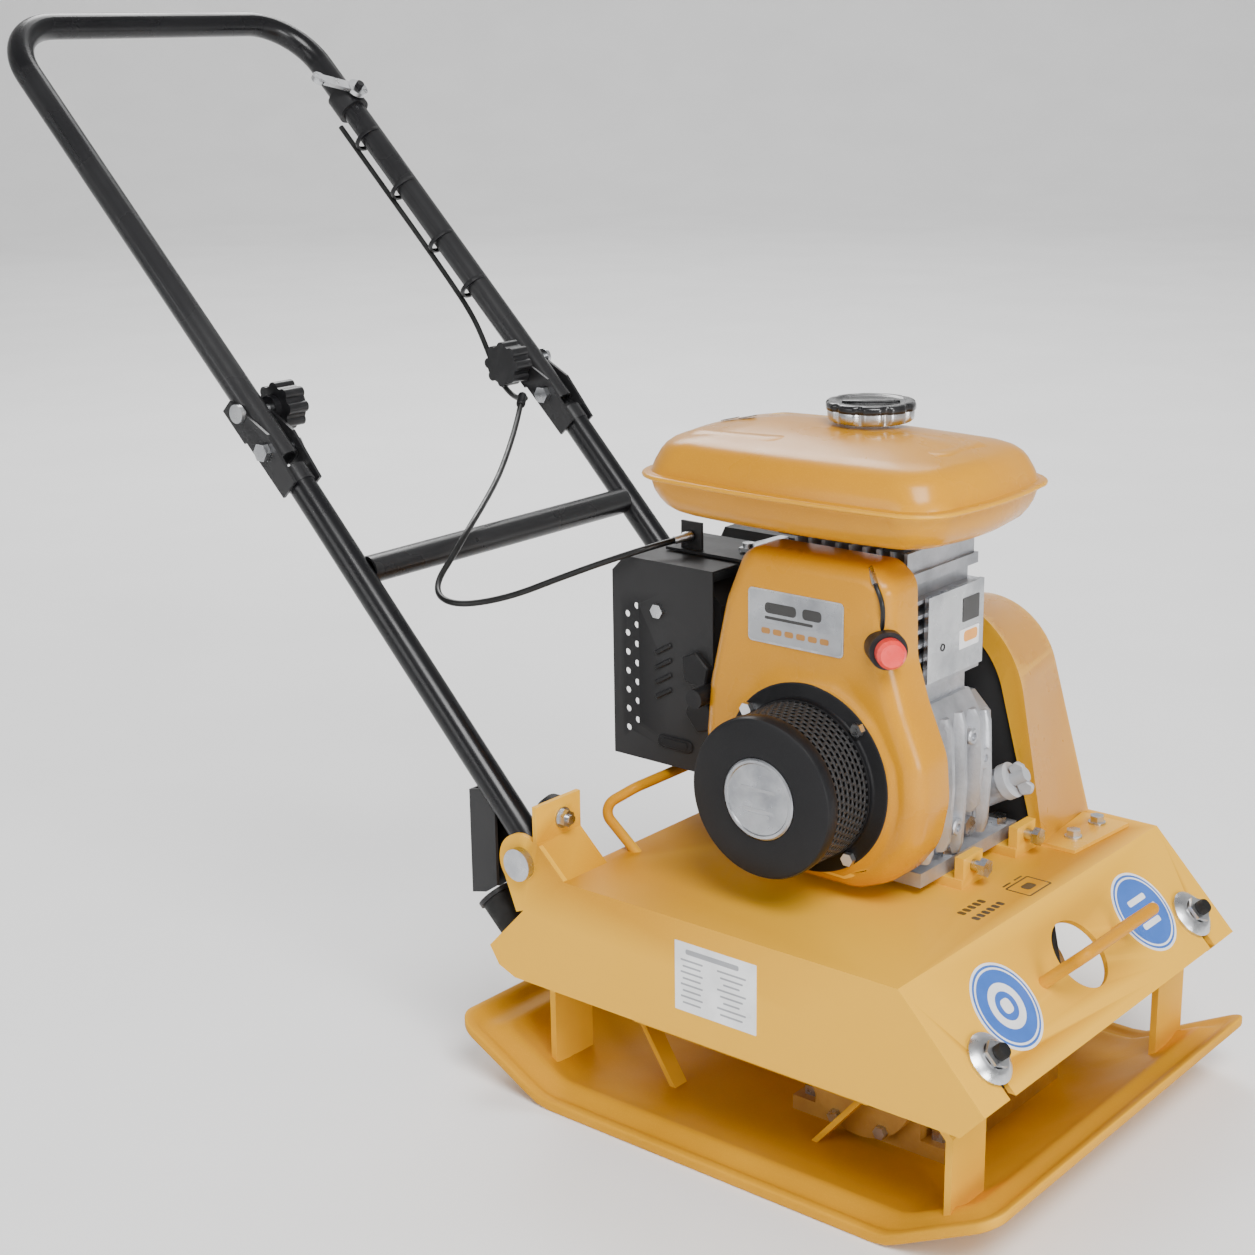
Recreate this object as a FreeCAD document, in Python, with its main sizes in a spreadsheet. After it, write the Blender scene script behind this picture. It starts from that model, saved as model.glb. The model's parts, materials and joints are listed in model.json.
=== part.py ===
"""Forward plate compactor with a folding handle.

Frame: +X forward, +Y to the belt side, +Z up, millimetres.
The origin is the centre of the base plate's flat sole.
"""
import FreeCAD, Part
import math
import os
import Sketcher
from FreeCAD import Placement, Rotation, Vector

doc = FreeCAD.newDocument("PlateCompactor")
sheet = doc.addObject("Spreadsheet::Sheet", "Dimensions")
NODES = {}
HEX_BOLTS = []
COVER_SCREWS = []


# ---------------------------------------------------------------- driving sizes
class Size:
    """A number together with the spreadsheet formula that gives it."""

    def __init__(self, value, text):
        self.value = value
        self.text = text

    def __float__(self):
        return float(self.value)

    def __add__(self, other):
        return Size(float(self) + float(other), f"({self.text} + {text_of(other)})")

    def __sub__(self, other):
        return Size(float(self) - float(other), f"({self.text} - {text_of(other)})")

    def __mul__(self, other):
        return Size(float(self) * float(other), f"({self.text} * {text_of(other)})")

    def __truediv__(self, other):
        return Size(float(self) / float(other), f"({self.text} / {text_of(other)})")

    def __radd__(self, other):
        return self + other

    def __rsub__(self, other):
        return Size(float(other) - float(self), f"({text_of(other)} - {self.text})")

    def __rmul__(self, other):
        return self * other

    def __neg__(self):
        return Size(-float(self), f"(0 - {self.text})")


def text_of(size):
    """The formula of a size, or the digits of a plain number."""
    return size.text if isinstance(size, Size) else f"({float(size):.6f})"


SIZES = {
    # base plate
    "plate_length": 536.0, "plate_width": 428.0, "plate_thick": 6.0,
    "plate_flat": 346.0, "plate_lift": 49.0,
    # deck
    "deck_width": 412.0, "deck_top": 210.0, "deck_sheet": 4.5, "skirt_low": 108.7,
    "bend_front": 176.6, "bend_rear": -157.0,
    "nose_forward": 251.9, "nose_low": 131.0, "tail_back": -232.0, "tail_low": 131.0,
    # handle
    "handle_half": 184.0, "tube_radius": 12.5, "tube_wall": 2.5,
    "pivot_back": -192.3, "pivot_up": 215.7, "fold_back": -492.0, "fold_up": 527.1,
    "grip_back": -859.5, "grip_up": 890.1, "cross_back": -397.0, "cross_up": 428.7,
    # engine and drive
    "crank_forward": 20.4, "crank_up": 308.1, "barrel_side": 8.0, "bore_radius": 33.5,
    "crank_throw": 26.0, "rod_length": 100.0, "starter_radius": 65.4, "starter_face": -164.2,
    "belt_side": 152.0, "drum_radius": 42.0, "pulley_radius": 40.0,
    "exciter_forward": 78.0, "exciter_up": 62.5,
    # fuel tank
    "tank_length": 304.0, "tank_width": 208.0, "tank_seam": 536.6, "tank_side": -26.0,
    "tank_floor": 503.0, "tank_crown": 577.0, "tank_sheet": 1.5,
    # shared small stock
    "sheet_metal": 1.6,
}


def fill_sheet():
    """Write every driving size into the sheet and return them as Size objects."""
    sizes = {}
    for row, (alias, value) in enumerate(SIZES.items(), start=1):
        sheet.set(f"A{row}", alias)
        sheet.set(f"B{row}", str(value))
        sheet.setAlias(f"B{row}", alias)
        sizes[alias] = Size(value, f"Dimensions.{alias}")
    doc.recompute()
    return sizes


D = fill_sheet()
AXES = {"x": Vector(1, 0, 0), "y": Vector(0, 1, 0), "z": Vector(0, 0, 1)}
SIDES = {"right": -1, "left": 1}


# ---------------------------------------------------------------- building blocks
def bind(obj, prop, size):
    """Tie one property of an object to a size."""
    obj.setExpression(prop, text_of(size))


def place(obj, at, rotation=None):
    """Put an object's own origin at a point, turned if asked."""
    obj.Placement = Placement(Vector(*[float(value) for value in at]), rotation or Rotation())
    for key, value in zip("xyz", at):
        bind(obj, "Placement.Base." + key, value)
    return obj


def axis_of(direction):
    """A direction given by its letter or as a vector."""
    return AXES[direction] if isinstance(direction, str) else direction


def towards(direction):
    """The turn that lays local Z along a direction."""
    return Rotation(Vector(0, 0, 1), axis_of(direction))


def box(x, y, z):
    """A block between a low and a high limit on each axis."""
    obj = doc.addObject("Part::Box", "Block")
    for prop, (low, high) in zip(("Length", "Width", "Height"), (x, y, z)):
        bind(obj, prop, high - low)
    return place(obj, (x[0], y[0], z[0]))


def rod(radius, at, length, direction="z"):
    """A round bar that starts at a point and runs along a direction."""
    obj = doc.addObject("Part::Cylinder", "Rod")
    bind(obj, "Radius", radius)
    bind(obj, "Height", length)
    return place(obj, at, towards(direction))


def hexagon(radius, at, length, direction="z"):
    """A hexagonal head or nut; the radius is to its corners."""
    obj = doc.addObject("Part::Prism", "Hexagon")
    obj.Polygon = 6
    bind(obj, "Circumradius", radius)
    bind(obj, "Height", length)
    return place(obj, at, towards(direction))


def fuse(*pieces):
    obj = doc.addObject("Part::MultiFuse", "Joined")
    obj.Shapes = list(pieces)
    return obj


def cut(base, *tools):
    for tool in tools:
        obj = doc.addObject("Part::Cut", "Trimmed")
        obj.Base = base
        obj.Tool = tool
        base = obj
    return base


def group(pieces):
    """Several separate solids of the same kind in one node."""
    obj = doc.addObject("Part::Compound", "Group")
    obj.Links = list(pieces)
    return obj


def solid(shape, name="Formed"):
    """A formed solid that neither a primitive nor a sketch describes."""
    obj = doc.addObject("Part::Feature", name)
    obj.Shape = shape
    return obj


def node(name, obj):
    """Make an object one of the finished pieces."""
    obj.Label = name
    NODES[name] = obj
    return obj


PLANES = {"y": ("XZ_Plane", -1), "x": ("YZ_Plane", 1), "z": ("XY_Plane", 1)}


def sketch(body, axis, outline, level=0.0):
    """A closed outline square to an axis, every corner tied to its two sizes."""
    role, sense = PLANES[axis]
    plane = [part for part in body.Origin.OriginFeatures if part.Role == role][0]
    drawing = body.newObject("Sketcher::SketchObject", "Outline")
    drawing.AttachmentSupport = [(plane, "")]
    drawing.MapMode = "FlatFace"
    corners = [Vector(float(u), float(w), 0) for u, w in outline]
    for start, end in zip(corners, corners[1:] + corners[:1]):
        drawing.addGeometry(Part.LineSegment(start, end), False)
    count = len(corners)
    for index in range(count):
        drawing.addConstraint(Sketcher.Constraint("Coincident", index, 2, (index + 1) % count, 1))
    for index, corner in enumerate(outline):
        for kind, size in zip(("DistanceX", "DistanceY"), corner):
            rule = Sketcher.Constraint(kind, -1, 1, index, 1, float(size))
            number = drawing.addConstraint(rule)
            if isinstance(size, Size):
                drawing.setExpression(f"Constraints[{number}]", size.text)
    bind(drawing, "AttachmentOffset.Base.z", level * sense)
    return drawing


def pad(body, axis, outline, low, high):
    """Add material between two levels along an axis."""
    feature = body.newObject("PartDesign::Pad", "Pad")
    feature.Profile = sketch(body, axis, outline, (low + high) / 2)
    feature.SideType = "Symmetric"
    bind(feature, "Length", high - low)
    return feature


def pocket(body, axis, outline, low, high):
    """Remove material between two levels along an axis."""
    feature = body.newObject("PartDesign::Pocket", "Pocket")
    feature.Profile = sketch(body, axis, outline, (low + high) / 2)
    feature.SideType = "Symmetric"
    bind(feature, "Length", high - low)
    return feature


def new_body():
    return doc.addObject("PartDesign::Body", "Body")


def slab(axis, outline, low, high):
    """One body made of a single padded outline."""
    body = new_body()
    pad(body, axis, outline, low, high)
    return body


def turned(profile, at, direction="z"):
    """A lathe part: (radius, height) corners swung about its own axis."""
    body = new_body()
    feature = body.newObject("PartDesign::Revolution", "Turned")
    feature.Profile = sketch(body, "y", profile)
    feature.ReferenceAxis = (feature.Profile[0], ["V_Axis"])
    feature.Angle = 360.0
    return place(body, at, towards(direction))


def bent_wire(points, radius):
    """A path of straight runs with a round bend of one radius at each corner."""
    edges = []
    start = points[0]
    for corner, after in zip(points[1:-1], points[2:]):
        back = (start - corner).normalize()
        ahead = (after - corner).normalize()
        half = (math.pi - back.getAngle(ahead)) / 2
        reach = radius * math.tan(half)
        middle = corner + (back + ahead).normalize() * (radius / math.cos(half) - radius)
        entry = corner + back * reach
        leave = corner + ahead * reach
        edges.append(Part.LineSegment(start, entry).toShape())
        edges.append(Part.Arc(entry, middle, leave).toShape())
        start = leave
    edges.append(Part.LineSegment(start, points[-1]).toShape())
    return Part.Wire(edges)


def bar(points, bend, radius, wall=None):
    """A bent round bar, or a tube where a wall is given."""
    path = bent_wire([Vector(*[float(value) for value in point]) for point in points], float(bend))
    first = path.Edges[0]
    direction = first.tangentAt(first.FirstParameter)
    start = first.valueAt(first.FirstParameter)

    def along(section):
        circle = Part.Wire([Part.makeCircle(section, start, direction)])
        return path.makePipeShell([circle], True, True)

    shape = along(float(radius))
    if wall is not None:
        shape = shape.cut(along(float(radius) - float(wall)))
    return solid(shape)


def rounded_section(length, width, radius, middle, level):
    """A rectangle with round corners, lying flat at one level."""
    half_x = length / 2 - radius
    half_y = width / 2 - radius
    edges = []
    for turn, (sx, sy) in enumerate(((1, 1), (-1, 1), (-1, -1), (1, -1))):
        centre = Vector(middle[0] + sx * half_x, middle[1] + sy * half_y, level)
        arc = Part.Arc(Part.Circle(centre, Vector(0, 0, 1), radius),
                       math.radians(90 * turn), math.radians(90 * turn + 90))
        edges.append(arc.toShape())
    joined = []
    for edge, after in zip(edges, edges[1:] + edges[:1]):
        joined.append(edge)
        joined.append(Part.LineSegment(edge.Vertexes[-1].Point, after.Vertexes[0].Point).toShape())
    return Part.Wire(joined)


def bolt(at, direction, shank, radius, head=7.0, across=1.75):
    """A hexagon bolt whose shank starts at a point and whose head sits behind that point."""
    axis = axis_of(direction)
    behind = [float(value) - axis[index] * head for index, value in enumerate(at)]
    return fuse(rod(radius, at, shank, direction), hexagon(radius * across, behind, head, direction))


# ---------------------------------------------------------------- base plate and exciter
FLAT = D["plate_flat"] / 2
REACH = D["plate_length"] / 2
LIFT = D["plate_lift"]
PLATE = D["plate_thick"]
HALF_PLATE = D["plate_width"] / 2


def floor_top(x):
    """Height of the plate's upper surface above the ground."""
    low_corner = FLAT - 1.5
    rise = LIFT / (REACH - 2.0 - low_corner)
    return (x - low_corner) * rise + PLATE


def make_base_plate():
    """A thick plate with both ends turned up, a raised lip and a ridge along each side."""
    body = new_body()
    pad(body, "y", [(-REACH, LIFT), (-FLAT, 0.0), (FLAT, 0.0), (REACH, LIFT),
                    (REACH - 2.0, LIFT + PLATE), (FLAT - 1.5, PLATE),
                    (1.5 - FLAT, PLATE), (2.0 - REACH, LIFT + PLATE)], -HALF_PLATE, HALF_PLATE)
    for side in SIDES.values():
        ridge = [(side * 150.0, PLATE - 0.5), (side * 158.0, PLATE + 6.0),
                 (side * 168.0, PLATE + 6.0), (side * 178.0, PLATE - 0.5)]
        pad(body, "x", ridge, 4.0 - FLAT, FLAT - 4.0)
        lip = [(side * (HALF_PLATE - 9.0), PLATE - 0.5), (side * (HALF_PLATE - 5.0), PLATE + 5.0),
               (side * HALF_PLATE, PLATE + 5.0), (side * HALF_PLATE, PLATE - 0.5)]
        pad(body, "x", lip, 4.0 - FLAT, FLAT - 4.0)
    node("base_plate", body)


# The rubber mounts stand square to the deck's sloped ends.
SLOPE = Vector(float(D["deck_top"] - D["nose_low"]), 0,
               float(D["nose_forward"] - D["bend_front"])).normalize()
STUD_UP = 154.0
REAR_SLOPE = Vector(float(D["tail_low"] - D["deck_top"]), 0,
                    float(D["bend_rear"] - D["tail_back"])).normalize()


def slope_point(bend, tip, low, height):
    """The point of a sloped end's outer face at one height."""
    share = (float(D["deck_top"]) - height) / float(D["deck_top"] - low)
    return Vector(float(bend) + share * float(tip - bend), 0, height)


FRONT_STUD = slope_point(D["bend_front"], D["nose_forward"], D["nose_low"], STUD_UP)
REAR_STUD = slope_point(D["bend_rear"], D["tail_back"], D["tail_low"], STUD_UP)
MOUNT_DEPTH = 46.0
ENDS = {"front": (FRONT_STUD, SLOPE, 166.0), "rear": (REAR_STUD, REAR_SLOPE, 146.0)}


def make_mount_brackets():
    """Four bent plates on the sole; each leans back to carry one rubber mount."""
    pieces = []
    thick = 6.0
    for stud, out, offset in ENDS.values():
        sense = 1 if out.x > 0 else -1
        seat = stud - out * (float(D["deck_sheet"]) + MOUNT_DEPTH)
        along = Vector(-out.z * sense, 0, abs(out.x))
        top = seat + along * 26.0
        knee_drop = 34.0
        knee = seat - along * knee_drop
        foot_x = abs(knee.x)
        low = floor_top(foot_x)
        low_inner = floor_top(foot_x - thick)
        inner = out * thick
        knee_in = knee - Vector(sense * thick, 0, 0)
        profile = [(sense * foot_x, low), (knee.x, knee.z), (top.x, top.z),
                   (top.x - inner.x, top.z - inner.z), (knee_in.x, knee_in.z - 2.6),
                   (sense * (foot_x - thick), low_inner)]
        for side in SIDES.values():
            middle = side * offset
            pieces.append(slab("y", profile, middle - 24.0, middle + 24.0))
    node("mount_brackets", group(pieces))


def make_rubber_mounts():
    """Four rubber cylinders between the brackets and the deck's sloped ends."""
    pieces = []
    for stud, out, offset in ENDS.values():
        seat = stud - out * (float(D["deck_sheet"]) + MOUNT_DEPTH)
        for side in SIDES.values():
            at = (seat.x, side * offset, seat.z)
            pieces.append(rod(23.0, at, MOUNT_DEPTH, out))
    pieces += make_stop_buffers()
    node("rubber_mounts", group(pieces))


def make_stop_buffers():
    """Two domed rubber stops behind the deck's tabs, each held by a nut in front."""
    buffers = []
    for side in SIDES.values():
        y = side * 174.0
        dome = [(0.0, 0.0), (17.0, 0.0), (17.0, 9.0), (11.5, 16.0), (7.0, 19.0), (0.0, 20.0)]
        buffers.append(turned(dome, (-179.0, y, 251.0), Vector(-1, 0, 0)))
        HEX_BOLTS.append(fuse(rod(9.0, (-174.5, y, 251.0), 1.5, "x"),
                              hexagon(7.5, (-173.0, y, 251.0), 6.0, "x"),
                              rod(4.0, (-174.5, y, 251.0), 11.0, "x")))
    return buffers


def make_mount_nuts():
    """Washer, nut and stud end outside the deck at each rubber mount."""
    pieces = []
    for stud, out, offset in ENDS.values():
        for side in SIDES.values():
            at = (stud.x, side * offset, stud.z)
            nut = stud + out * 3.0
            pieces.append(fuse(rod(20.0, at, 3.0, out),
                               hexagon(11.5, (nut.x, side * offset, nut.z), 9.0, out),
                               rod(5.0, at, 18.0, out)))
    HEX_BOLTS.extend(pieces)


EX_X = D["exciter_forward"]
EX_Z = D["exciter_up"]


def make_exciter():
    """The vibrator: housing, end covers, bearings, weighted shaft, pulley, bearer plates."""
    floor = PLATE
    outer = slab("y", [(EX_X - 74.0, floor), (EX_X + 74.0, floor), (EX_X + 74.0, floor + 14.0),
                       (EX_X + 51.0, floor + 14.0), (EX_X + 50.0, EX_Z + 12.0),
                       (EX_X + 24.0, EX_Z + 44.0), (EX_X - 24.0, EX_Z + 44.0),
                       (EX_X - 50.0, EX_Z + 12.0), (EX_X - 51.0, floor + 14.0),
                       (EX_X - 74.0, floor + 14.0)], -92.0, 92.0)
    chamber = rod(40.0, (EX_X, -92.0, EX_Z), 184.0, "y")
    node("exciter_housing", cut(outer, chamber))
    covers = []
    for side in SIDES.values():
        disc = rod(50.0, (EX_X, 92.0 if side > 0 else -104.0, EX_Z), 12.0, "y")
        spigot = rod(39.9, (EX_X, 68.0 if side > 0 else -92.0, EX_Z), 24.0, "y")
        pocket_low = 68.0 if side > 0 else -84.0
        recess = rod(31.0, (EX_X, pocket_low, EX_Z), 16.0, "y")
        way = rod(14.0, (EX_X, 84.0 if side > 0 else -84.1, EX_Z), 21.0, "y")
        cover = cut(fuse(disc, spigot), recess)
        if side > 0:
            cover = cut(cover, way)
        covers.append(cover)
    node("exciter_covers", group(covers))
    bearings = []
    for low in (68.0, -84.0):
        ring = rod(31.0, (EX_X, low, EX_Z), 16.0, "y")
        bearings.append(cut(ring, rod(15.03, (EX_X, low, EX_Z), 16.0, "y")))
    node("exciter_bearings", group(bearings))
    shaft = turned([(0.0, -84.0), (15.0, -84.0), (15.0, -66.0), (18.0, -66.0), (18.0, 66.0),
                    (15.0, 66.0), (15.0, 84.0), (13.0, 84.0), (13.0, 176.0), (0.0, 176.0)],
                   (EX_X, 0.0, EX_Z), "y")
    weight = cut(rod(37.0, (EX_X, -52.0, EX_Z), 104.0, "y"),
                 box((EX_X - 40.0, EX_X + 40.0), (-53.0, 53.0), (EX_Z + 6.0, EX_Z + 40.0)))
    node("eccentric_shaft", fuse(shaft, weight))
    rim = D["pulley_radius"]
    grooved = turned([(13.0, -16.0), (rim, -16.0), (rim, -9.0), (rim - 11.0, -4.5),
                      (rim - 11.0, 4.5), (rim, 9.0), (rim, 16.0), (13.0, 16.0)],
                     (EX_X, D["belt_side"], EX_Z), "y")
    node("exciter_pulley", grooved)
    bolts = []
    for side in SIDES.values():
        for turn in range(6):
            angle = math.radians(60 * turn)
            at = (EX_X + 44.6 * math.cos(angle), side * 104.0, EX_Z + 44.6 * math.sin(angle))
            bolts.append(hexagon(5.8, at, 5.0, "y" if side > 0 else Vector(0, -1, 0)))
    for sx in (-1, 1):
        for sy in SIDES.values():
            at = (EX_X + sx * 62.0, sy * 76.0, floor + 14.0)
            bolts.append(hexagon(9.5, at, 8.0))
    HEX_BOLTS.extend(bolts)


def make_sole_braces():
    """A rail on two leaning legs along each side; the belt side stops short of the shaft."""
    spans = {"right": ((-100.0, -133.0), (46.0, 88.0), 100.0),
             "left": ((-100.0, -133.0), (8.0, 36.0), 48.0)}
    braces = []
    for name, side in SIDES.items():
        *legs, front_end = spans[name]
        low, high = side * 118.0 - 8.0, side * 118.0 + 8.0
        pieces = [box((-140.0, front_end), (low, high), (56.0, 62.0))]
        for foot, top in legs:
            outline = [(foot, PLATE), (foot + 6.0, PLATE), (top + 6.0, 56.0), (top, 56.0)]
            pieces.append(slab("y", outline, low, high))
        braces.append(fuse(*pieces))
    node("sole_braces", group(braces))


# ---------------------------------------------------------------- deck
TOP = D["deck_top"]
SHEET = D["deck_sheet"]
HALF_DECK = D["deck_width"] / 2
SKIRT = D["skirt_low"]
STUD_SLOT = 8.0


def make_deck():
    """A folded and welded tray: top, two sloped ends, two skirts with pivot lugs and corner tabs."""
    body = new_body()
    pad(body, "y", [(D["tail_back"], D["tail_low"]), (D["bend_rear"], TOP), (D["bend_front"], TOP),
                    (D["nose_forward"], D["nose_low"]), (232.0, SKIRT), (-204.0, SKIRT),
                    (-222.0, SKIRT + 7.0)], -HALF_DECK, HALF_DECK)
    nose_in = SHEET * (1 / SLOPE.x)
    tail_in = SHEET * (1 / -REAR_SLOPE.x)
    bend_in_front = nose_in * (1 - SLOPE.z)
    bend_in_rear = tail_in * (1 - REAR_SLOPE.z)
    pocket(body, "y", [(D["tail_back"] + tail_in, D["tail_low"]), (D["bend_rear"] + bend_in_rear, TOP - SHEET),
                       (D["bend_front"] - bend_in_front, TOP - SHEET),
                       (D["nose_forward"] - nose_in, D["nose_low"]),
                       (260.0, D["nose_low"]), (260.0, 90.0), (-260.0, 90.0), (-260.0, D["tail_low"])],
           SHEET - HALF_DECK, HALF_DECK - SHEET)
    pivot_x, pivot_z = D["pivot_back"], D["pivot_up"]
    extras = []
    for side in SIDES.values():
        low = HALF_DECK * side if side < 0 else HALF_DECK - SHEET
        lug_plate = slab("y", [(-200.0, 170.0), (-150.0, 190.0), (-146.0, 211.0), (-172.0, 235.0),
                               (-176.0, 236.0), (pivot_x + 12.0, pivot_z + 21.0),
                               (pivot_x - 22.0, pivot_z - 10.0)], low, low + SHEET)
        eye = rod(25.0, (pivot_x, low, pivot_z), SHEET, "y")
        extras += [lug_plate, eye]
        inner, outer = (151.0, 206.0) if side > 0 else (-206.0, -151.0)
        extras.append(slab("y", [(-150.0, 205.5), (-146.0, 210.0), (-174.5, 236.5), (-174.5, 268.3),
                                 (-179.0, 268.3), (-179.0, 234.0)], inner, outer))
    extras += make_engine_rails()
    shell = fuse(body, *extras)
    holes = [rod(29.5, (212.3 - SLOPE.x * 12, 4.0, 172.0 - SLOPE.z * 12), 24.0, SLOPE),
             box((-24.0, 152.0), (132.0, 172.0), (190.0, 220.0))]
    for side in SIDES.values():
        start = -207.0 if side < 0 else 200.0
        holes.append(rod(8.1, (pivot_x, start, pivot_z), 8.0, "y"))
        holes.append(rod(5.2, (-185.0, side * 174.0, 251.0), 16.0, "x"))
    for stud, out, offset in ENDS.values():
        for side in SIDES.values():
            holes.append(rod(5.3, (stud.x - out.x * 8, side * offset, stud.z - out.z * 8), 16.0, out))
            if out.x > 0:
                holes.append(slab("y", [(stud.x - 14.0, stud.z - 6.0), (stud.x - 14.0, SKIRT - 4.0),
                                        (stud.x + 60.0, SKIRT - 4.0), (stud.x + 6.0, stud.z - 6.0)],
                                  side * offset - STUD_SLOT / 2, side * offset + STUD_SLOT / 2))
    node("deck", cut(shell, *holes))


RAIL_SIDES = (-4.0, 82.0)
RAIL_TOP = TOP + 8.0


def make_engine_rails():
    """Two rails across the deck with screw tabs; the engine bolts and tensioners go with them."""
    rails = []
    for y in RAIL_SIDES:
        tab = cut(box((110.0, 118.0), (y - 15.0, y + 15.0), (RAIL_TOP, TOP + 26.0)),
                  rod(4.6, (106.0, y, TOP + 17.0), 16.0, "x"))
        rails += [box((-70.0, 118.0), (y - 17.0, y + 17.0), (TOP, RAIL_TOP)), tab]
        HEX_BOLTS.append(bolt((126.0, y, TOP + 17.0), Vector(-1, 0, 0), 22.0, 4.5, 6.0))
        for x in (-57.0, 90.0):
            HEX_BOLTS.append(hexagon(8.5, (x, y, RAIL_TOP + 12.0), 7.0))
    return rails


LIFT_BAR_OUT = 47.0


def make_guard_bars():
    """The front lift bar and the round guard bar behind the engine."""
    start = slope_point(D["bend_front"], D["nose_forward"], D["nose_low"], 170.5)
    tip = start + SLOPE * LIFT_BAR_OUT
    points = [(start.x, -57.0, start.z), (tip.x, -57.0, tip.z),
              (tip.x, 61.0, tip.z), (start.x, 61.0, start.z)]
    node("front_lift_bar", bar(points, 9.0, 5.0))
    half = 128.0
    buried = float(TOP) - 6.0
    loop = [(-140.0, -half + 14, buried), (-172.0, -half, 246.0), (-152.0, -half + 22, 262.0),
            (-152.0, half - 60, 262.0), (-172.0, half - 38, 246.0), (-140.0, half - 52, buried)]
    below = box((-170.0, -120.0), (-half, half), (TOP - 30.0, TOP))
    node("rear_guard_bar", cut(bar(loop, 12.0, 4.5), below))


# ---------------------------------------------------------------- belt drive and guard
CRANK_X = D["crank_forward"]
CRANK_Z = D["crank_up"]
BELT_Y = D["belt_side"]


def guard_outline(grow, level):
    """The guard's arch at one distance from the engine, as a closed wire."""
    foot_front, foot_rear = 112.0 + grow * 0.45, -92.0 - grow * 0.45
    radius = 70.0 + grow
    centre = Vector(6.0, level, 322.0)
    foot_z = float(TOP)

    def tangent(foot_x, sense):
        away = Vector(foot_x - centre.x, 0, foot_z - centre.z)
        span = away.Length
        base = math.atan2(away.z, away.x)
        angle = base + sense * math.acos(radius / span)
        return centre + Vector(math.cos(angle), 0, math.sin(angle)) * radius

    front = tangent(foot_front, 1)
    rear = tangent(foot_rear, -1)
    low_front = Vector(foot_front, level, foot_z)
    low_rear = Vector(foot_rear, level, foot_z)
    crown = centre + Vector(0, 0, radius)
    edges = [Part.LineSegment(low_front, front).toShape(), Part.Arc(front, crown, rear).toShape(),
             Part.LineSegment(rear, low_rear).toShape(),
             Part.LineSegment(low_rear, low_front).toShape()]
    return Part.Wire(edges)


GUARD_NEAR, GUARD_FAR = 104.0, 204.0


def make_belt_guard():
    """A tapered sheet cover over the belt, its black inner plate and its bolts."""
    wall = 2.0
    outer = Part.makeLoft([guard_outline(24.0, GUARD_NEAR), guard_outline(0.0, GUARD_FAR)], True, True)
    inner = Part.makeLoft([guard_outline(22.5 - wall, GUARD_NEAR + wall),
                           guard_outline(1.0 - wall, GUARD_FAR - wall)], True, True)
    base_gap = Part.makeBox(300, 300, 20, Vector(-150, 50, float(TOP) - 20))
    window = Part.makeLoft([guard_outline(4.0, GUARD_NEAR - 1), guard_outline(4.0, GUARD_NEAR + 3)],
                           True, True)
    open_foot = Part.makeBox(170, 92, 6, Vector(-66, GUARD_NEAR + 4, float(TOP) - 1))
    shape = outer.cut(inner).cut(window).cut(base_gap).cut(open_foot)
    corners = [Vector(x, y, float(TOP)) for x, y in ((121.6, 104.0), (152.0, 104.0), (158.0, 190.0),
                                                     (113.6, 190.0))]
    flange = Part.Face(Part.makePolygon(corners + corners[:1])).extrude(Vector(0, 0, 3))
    shape = shape.fuse(flange).removeSplitter()
    for y in (131.4, 173.5):
        shape = shape.cut(Part.makeCylinder(4.2, 12, Vector(136, y, float(TOP) - 3)))
    node("belt_guard", solid(shape))
    plate = Part.makeLoft([guard_outline(18.0, GUARD_NEAR + 2.6), guard_outline(17.6, GUARD_NEAR + 4.6)],
                          True, True)
    plate = plate.cut(Part.makeCylinder(28, 20, Vector(float(CRANK_X), 100, float(CRANK_Z)),
                                        Vector(0, 1, 0)))
    node("guard_back_plate", solid(plate))
    pieces = [fuse(rod(7.5, (136.0, y, TOP + 3.0), 1.5), hexagon(6.4, (136.0, y, TOP + 4.5), 5.5))
              for y in (131.4, 173.5)]
    HEX_BOLTS.extend(pieces)


def make_belt_drive():
    """Clutch hub with shoes, clutch drum with its pulley groove, and the V-belt."""
    hub = turned([(10.0, -14.0), (22.0, -14.0), (34.0, -14.0), (34.0, 3.0), (22.0, 3.0),
                  (22.0, 6.0), (10.0, 6.0)], (CRANK_X, 124.0, CRANK_Z), "y")
    node("clutch_hub", hub)
    rim = D["drum_radius"]
    drum = turned([(10.05, 134.0), (39.0, 134.0), (39.0, 110.0), (42.0, 110.0), (42.0, 138.0),
                   (rim + 4.0, 138.0), (rim + 4.0, 143.0), (rim - 7.0, 147.5), (rim - 7.0, 156.5),
                   (rim + 4.0, 161.0), (rim + 4.0, 166.0), (10.05, 166.0)],
                  (CRANK_X, 0.0, CRANK_Z), "y")
    node("clutch_drum", drum)
    upper = Vector(float(CRANK_X), 0, float(CRANK_Z))
    lower = Vector(float(EX_X), 0, float(EX_Z))
    shape = loop_band(upper, float(rim) - 4.0, lower, float(D["pulley_radius"]) - 8.0, 9.5)
    node("v_belt", solid(shape))


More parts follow.
